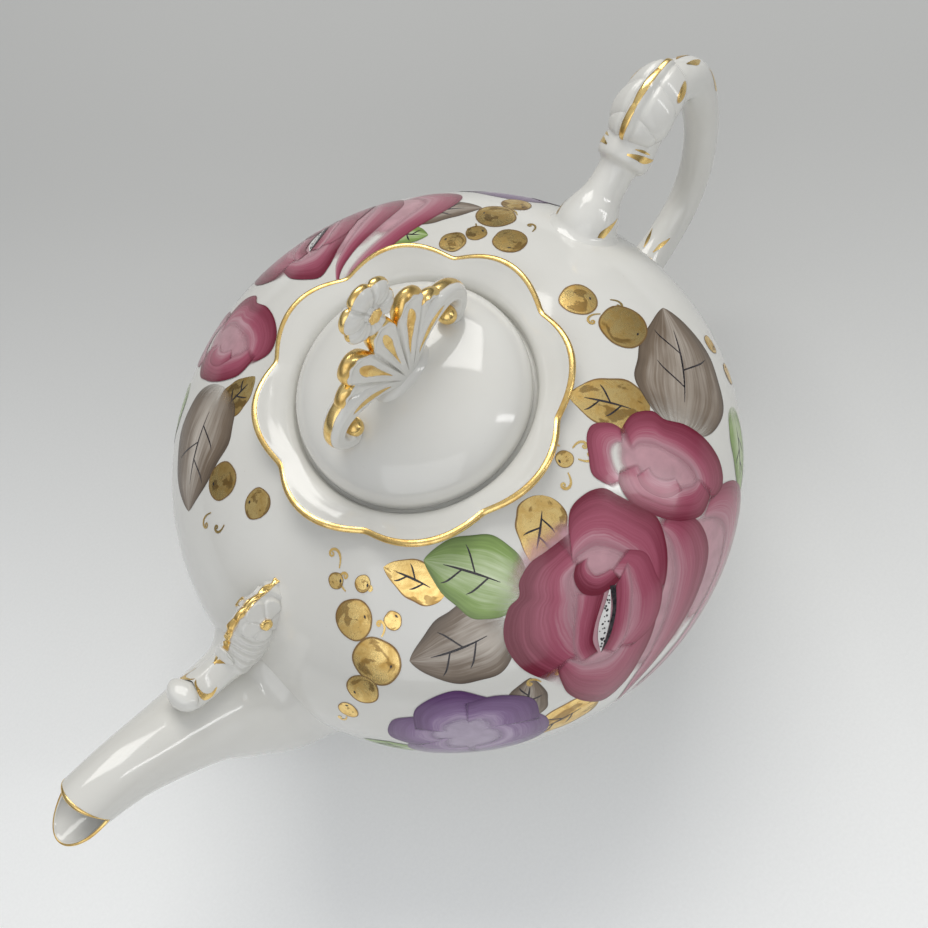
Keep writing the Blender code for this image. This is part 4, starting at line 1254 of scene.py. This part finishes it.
def make_fan(look):
    """Palmette: fluted feathers on both faces, gilt strokes in them and gold along the scalloped edge."""
    lean = np.linspace(-FAN_SPREAD, FAN_SPREAD, 361)
    lean, share = np.meshgrid(lean, np.linspace(0.0, 1.0, 110), indexing="ij")
    length, across, index = feather_at(lean)
    notch = np.where(np.abs(lean) < FEATHERS[1][0], 0.34, 0.16)
    length = length * (1 - notch + notch * np.sqrt(np.clip(1 - across**2 * 0.96, 0, 1)))
    reach = FAN_ROOT + share * (length - FAN_ROOT)
    flute = hill(across, 0.34) * soft(share - 0.30, 0.14) * soft(0.90 - share, 0.05)
    crease = hill(1 - np.abs(across), 0.13) * soft(share - 0.2, 0.12)
    thick = FAN_HALF_THICKNESS * (1.15 - 0.55 * share) * (1.0 - 0.30 * flute - 0.42 * crease)
    tip = np.clip((share - 0.93) / 0.07, 0, 1)
    thick = thick * np.sqrt(1 - tip**2 * 0.999) * (1.0 + 0.12 * hill(share - 0.93, 0.03))
    border = np.clip((FAN_SPREAD - np.abs(lean)) / 3.0, 0, 1)
    thick = np.maximum(thick * np.sqrt(1 - (1 - border) ** 2 * 0.9999), 0.01 * MM)
    angle = np.radians(lean)
    front = np.stack([reach * np.sin(angle), -thick, DOME_TOP - MM + reach * np.cos(angle)], axis=-1)
    taper = np.clip((share - 0.26) / 0.42, 0, 1) ** 0.8
    blunt = np.sqrt(np.clip(1 - np.clip((share - 0.66) / 0.14, 0, 1) ** 2, 0, 1))
    lobe = np.where(index == 0, 0.30, 0.40) * taper * blunt
    stripe = np.where((share > 0.27) & (share < 0.80), (lobe - np.abs(across)) / 0.25, -1.0)
    edge = (share - 0.952 - 0.006 * np.cos(lean)) / 0.03
    sides = np.where(share > 0.62, (1.2 - (FAN_SPREAD - np.abs(lean))) / 1.2, -1.0)
    grid, gild = two_faced(front, np.clip(np.maximum(np.maximum(stripe, edge), sides), -1, 1), True)
    skin_object("palmette", "lid_fan", look, grid, FAN_WELD, gild=gild, cap=True)
    ball("palmette_mound", "lid_fan", look, (0, 0, DOME_TOP - 0.0016), 0.0030, (3.4, 1.75, 1.2), -1.0)


def make_rosette(look):
    """Six-petal flower facing both ways, with a raised gold eye."""
    far = np.linspace(0.0, 1.0, 90)[:, None]
    angle = circle(192)[None]
    wave = np.abs(np.sin(3 * angle))
    edge = FLOWER_RADIUS * (0.80 + 0.20 * wave**0.55)
    groove = (0.5 + 0.5 * np.cos(18 * angle)) * soft(far - 0.4, 0.08)
    dish = 0.56 + 0.22 * np.sin(math.pi * np.clip((far - 0.25) / 0.75, 0, 1))
    crease = 0.24 * hill(wave, 0.25) * soft(far - 0.3, 0.1)
    body = np.maximum(dish - crease, 0.1) - 0.035 * groove + 0.42 * soft(0.27 - far, 0.035)
    thick = FLOWER_HALF_THICKNESS * np.sqrt(np.clip(1 - far**6, 0, 1)) * body
    x, z = far * edge * np.cos(angle), FLOWER_MIDDLE + far * edge * np.sin(angle)
    front = np.stack([x, -thick, z], axis=-1)
    gold = np.maximum((0.25 - far) / 0.08, np.where(np.sin(angle) > -0.25, (far - 0.955) / 0.035, -1.0))
    grid, gild = two_faced(front, np.clip(gold, -1, 1), False)
    skin_object("rosette", "lid_flower", look, grid, FINE_WELD, gild=gild)


def make_volute(name, side, look, gold):
    rows = np.array(VOLUTE_ROWS) * (side, 1, 1, 1) + (0, DOME_TOP, 0, 0)

    def relief(along, turn, depth):
        return volute_relief(along, turn * side, depth)

    slot = f"lid_scroll_{name}"
    ornament(f"volute_{name}", slot, look, Tube(rows), relief, 180, 64, (0.05, 0.05))
    ball(f"volute_ball_{name}", slot, gold, (rows[-1, 0], 0.0, rows[-1, 1]), VOLUTE_BALL, (1, 1.15, 1), 1.0)


# ---------------------------------------------------------------- stage and camera
# The camera looks at CAMERA_TARGET (x, y) at the belly's height from CAMERA_DISTANCE, in belly radii.
CAMERA_AZIMUTH = -24.3
CAMERA_ELEVATION = 67.9
CAMERA_ROLL = 28.6
CAMERA_DISTANCE = 3.373
CAMERA_TARGET = (0.013, -0.045)
CAMERA_LENS = 36.85
# The grey of the paper beyond the pot is painted shade.
PAPER_FAR_SHADE = (0.46, 0.46, 0.447)
PAPER_NEAR = (0.97, 0.97, 0.95)
PAPER_FIBRE = (0.3, 0.3, 0.29)
PAPER_FADE = 0.21
PAPER_SIZE = 12.0
# Strength of the room's light, and of the backdrop that the camera sees, at the horizon and high up.
ROOM = (0.10, 0.64)
BACKDROP = (0.42, 0.66)
SKY_TINT = (0.92, 0.95, 1.0)
# Lights: (name, place, target, size, power, colour).
LIGHTS = (
    ("window", (0.50, 0.38, 0.85), (0, 0, 0.07), (0.70, 0.50), 5.0, (1.0, 0.985, 0.95)),
    ("fill", (-0.75, -0.60, 0.85), (0, 0, 0.05), (1.2, 1.2), 4.3, (0.97, 0.98, 1.0)),
    ("strip", (0.45, -0.70, 0.55), (0, 0, 0.08), (0.08, 0.6), 0.9, (1.0, 1.0, 1.0)),
)


def make_camera():
    a, e = math.radians(CAMERA_AZIMUTH), math.radians(CAMERA_ELEVATION)
    back = Vector((math.sin(a) * math.cos(e), -math.cos(a) * math.cos(e), math.sin(e)))
    target = Vector((CAMERA_TARGET[0] * BELLY_RADIUS, CAMERA_TARGET[1] * BELLY_RADIUS, BELLY_HEIGHT))
    data = bpy.data.cameras.new("view")
    data.sensor_width = 36.0
    data.lens = CAMERA_LENS
    data.clip_start = 0.01
    data.clip_end = 20.0
    camera = link("view", data)
    camera.rotation_mode = "QUATERNION"
    camera.location = target + back * CAMERA_DISTANCE * BELLY_RADIUS
    turn = Matrix.Rotation(math.radians(-CAMERA_ROLL), 4, back)
    level = (-back).to_track_quat("-Z", "Y").to_matrix().to_4x4()
    camera.rotation_quaternion = (turn @ level).to_quaternion()
    bpy.context.scene.camera = camera


def make_lights():
    for name, place, target, size, power, colour in LIGHTS:
        data = bpy.data.lights.new(name, "AREA")
        data.shape = "RECTANGLE"
        data.size, data.size_y = size
        data.energy = power
        data.color = colour
        light = link(name, data)
        light.location = place
        light.rotation_mode = "QUATERNION"
        light.rotation_quaternion = (Vector(target) - Vector(place)).to_track_quat("-Z", "Y")
    world = bpy.data.worlds.new("studio")
    world.use_nodes = True
    sky = Nodes(world.node_tree)
    up = sky.split(sky.place(0))[2]
    seen = sky.node("ShaderNodeLightPath")
    strength = sky.blend(seen, sky.ramp(up, 0.05, 0.95, *ROOM), sky.ramp(up, 0.0, 0.30, *BACKDROP))
    background = world.node_tree.nodes["Background"]
    sky.plug(background.inputs["Color"], SKY_TINT)
    sky.plug(background.inputs["Strength"], strength)
    bpy.context.scene.world = world
    bpy.context.scene.view_settings.view_transform = "Standard"
    bpy.context.scene.view_settings.look = "None"


def make_floor():
    """Pale seamless paper with painted shade: greyer beyond the pot, and pale again far away."""
    look = Look("paper")
    place = look.place()
    fibre = look.noise(place, 900.0, 3.0, 0.6)
    x, y, _ = look.split(place)
    # Painted shade: the paper greys towards the far side of the pot, standing in for a backdrop turned away
    # from the light.
    near = look.madd(y, -0.58, look.times(x, -0.81))
    paper = look.mix(look.ramp(near, -PAPER_FADE, PAPER_FADE, smooth=True), PAPER_FAR_SHADE, PAPER_NEAR)
    away = look.node("ShaderNodeVectorMath", {0: place}, 1, operation="LENGTH")
    paper = look.mix(look.ramp(away, 0.6, 1.4, smooth=True), paper, PAPER_NEAR)
    look.set(Base_Color=look.mix(look.ramp(fibre, 0.3, 0.7, 0.0, 0.05), paper, PAPER_FIBRE))
    look.set(Roughness=0.9, Normal=look.bump(fibre, 0.05, 0.1))
    mesh = bpy.data.meshes.new("floor")
    corners = [(-1, -1, 0), (1, -1, 0), (1, 1, 0), (-1, 1, 0)]
    mesh.from_pydata([Vector(spot) * PAPER_SIZE for spot in corners], [], [(0, 1, 2, 3)])
    mesh.materials.append(look.material)
    link("floor", mesh)


def main():
    glaze = porcelain("white_glaze")
    relief = gilded("gilded_relief")
    gold = gilt("burnished_gold")
    make_belly(glaze)
    make_foot(porcelain("foot_glaze", 0.9 * MM))
    make_collar(glaze, gold)
    make_spout(glaze, gold)
    handle = make_handle(glaze)
    crest = Tube(belly_rows(CREST_ROWS, -1), CREST_BLADE, -1)
    ornament("crest", "spout_crest", relief, crest, crest_relief, 520, 200, (0.05, 0.05))
    saddle = Tube(belly_rows(LEAF_ROWS, 1), LEAF_BLADE)
    ornament("leaf_saddle", "handle_leaf", relief, saddle, leaf_relief, 300, 160, (0.10, 0.12))
    make_dome(glaze, porcelain("bare_flange", 1.0, 0.0))
    make_fan(relief)
    make_rosette(relief)
    make_volute("left", -1, relief, gold)
    make_volute("right", 1, relief, gold)
    paint_belly()
    paint_touches("handle_gilt_touches", handle, HANDLE_TOUCHES, HANDLE_TOP)
    paint_touches("crest_gilt_touches", crest, CREST_TOUCHES, CREST_TOP)
    looks = {
        "rose_washes": wash("rose_wash", ROSE_WASH, 0.95),
        "violet_washes": wash("violet_wash", VIOLET_WASH, 0.8),
        "magenta_roses": brushed("magenta", *MAGENTAS),
        "violet_flowers": brushed("violet", *VIOLET_TONES),
        "taupe_leaves": leafy("taupe", *TAUPES),
        "green_leaves": leafy("green", *GREENS),
        "gilt_leaves": gilt("leaf_gold", True),
        "gilt_berries": gilt("berry_gold", True),
        "gilt_tendrils": gilt("tendril_gold"),
        "dark_veins": ink("ink"),
        "rose_hearts": wash("heart_white", HEART_WHITE, 1.0, 0.0),
    }
    films = {piece: ("body_shell", look) for piece, look in looks.items()}
    films["handle_gilt_touches"] = ("handle", gold)
    films["crest_gilt_touches"] = ("spout_crest", gold)
    finish_films(films)
    make_floor()
    make_lights()
    make_camera()


main()
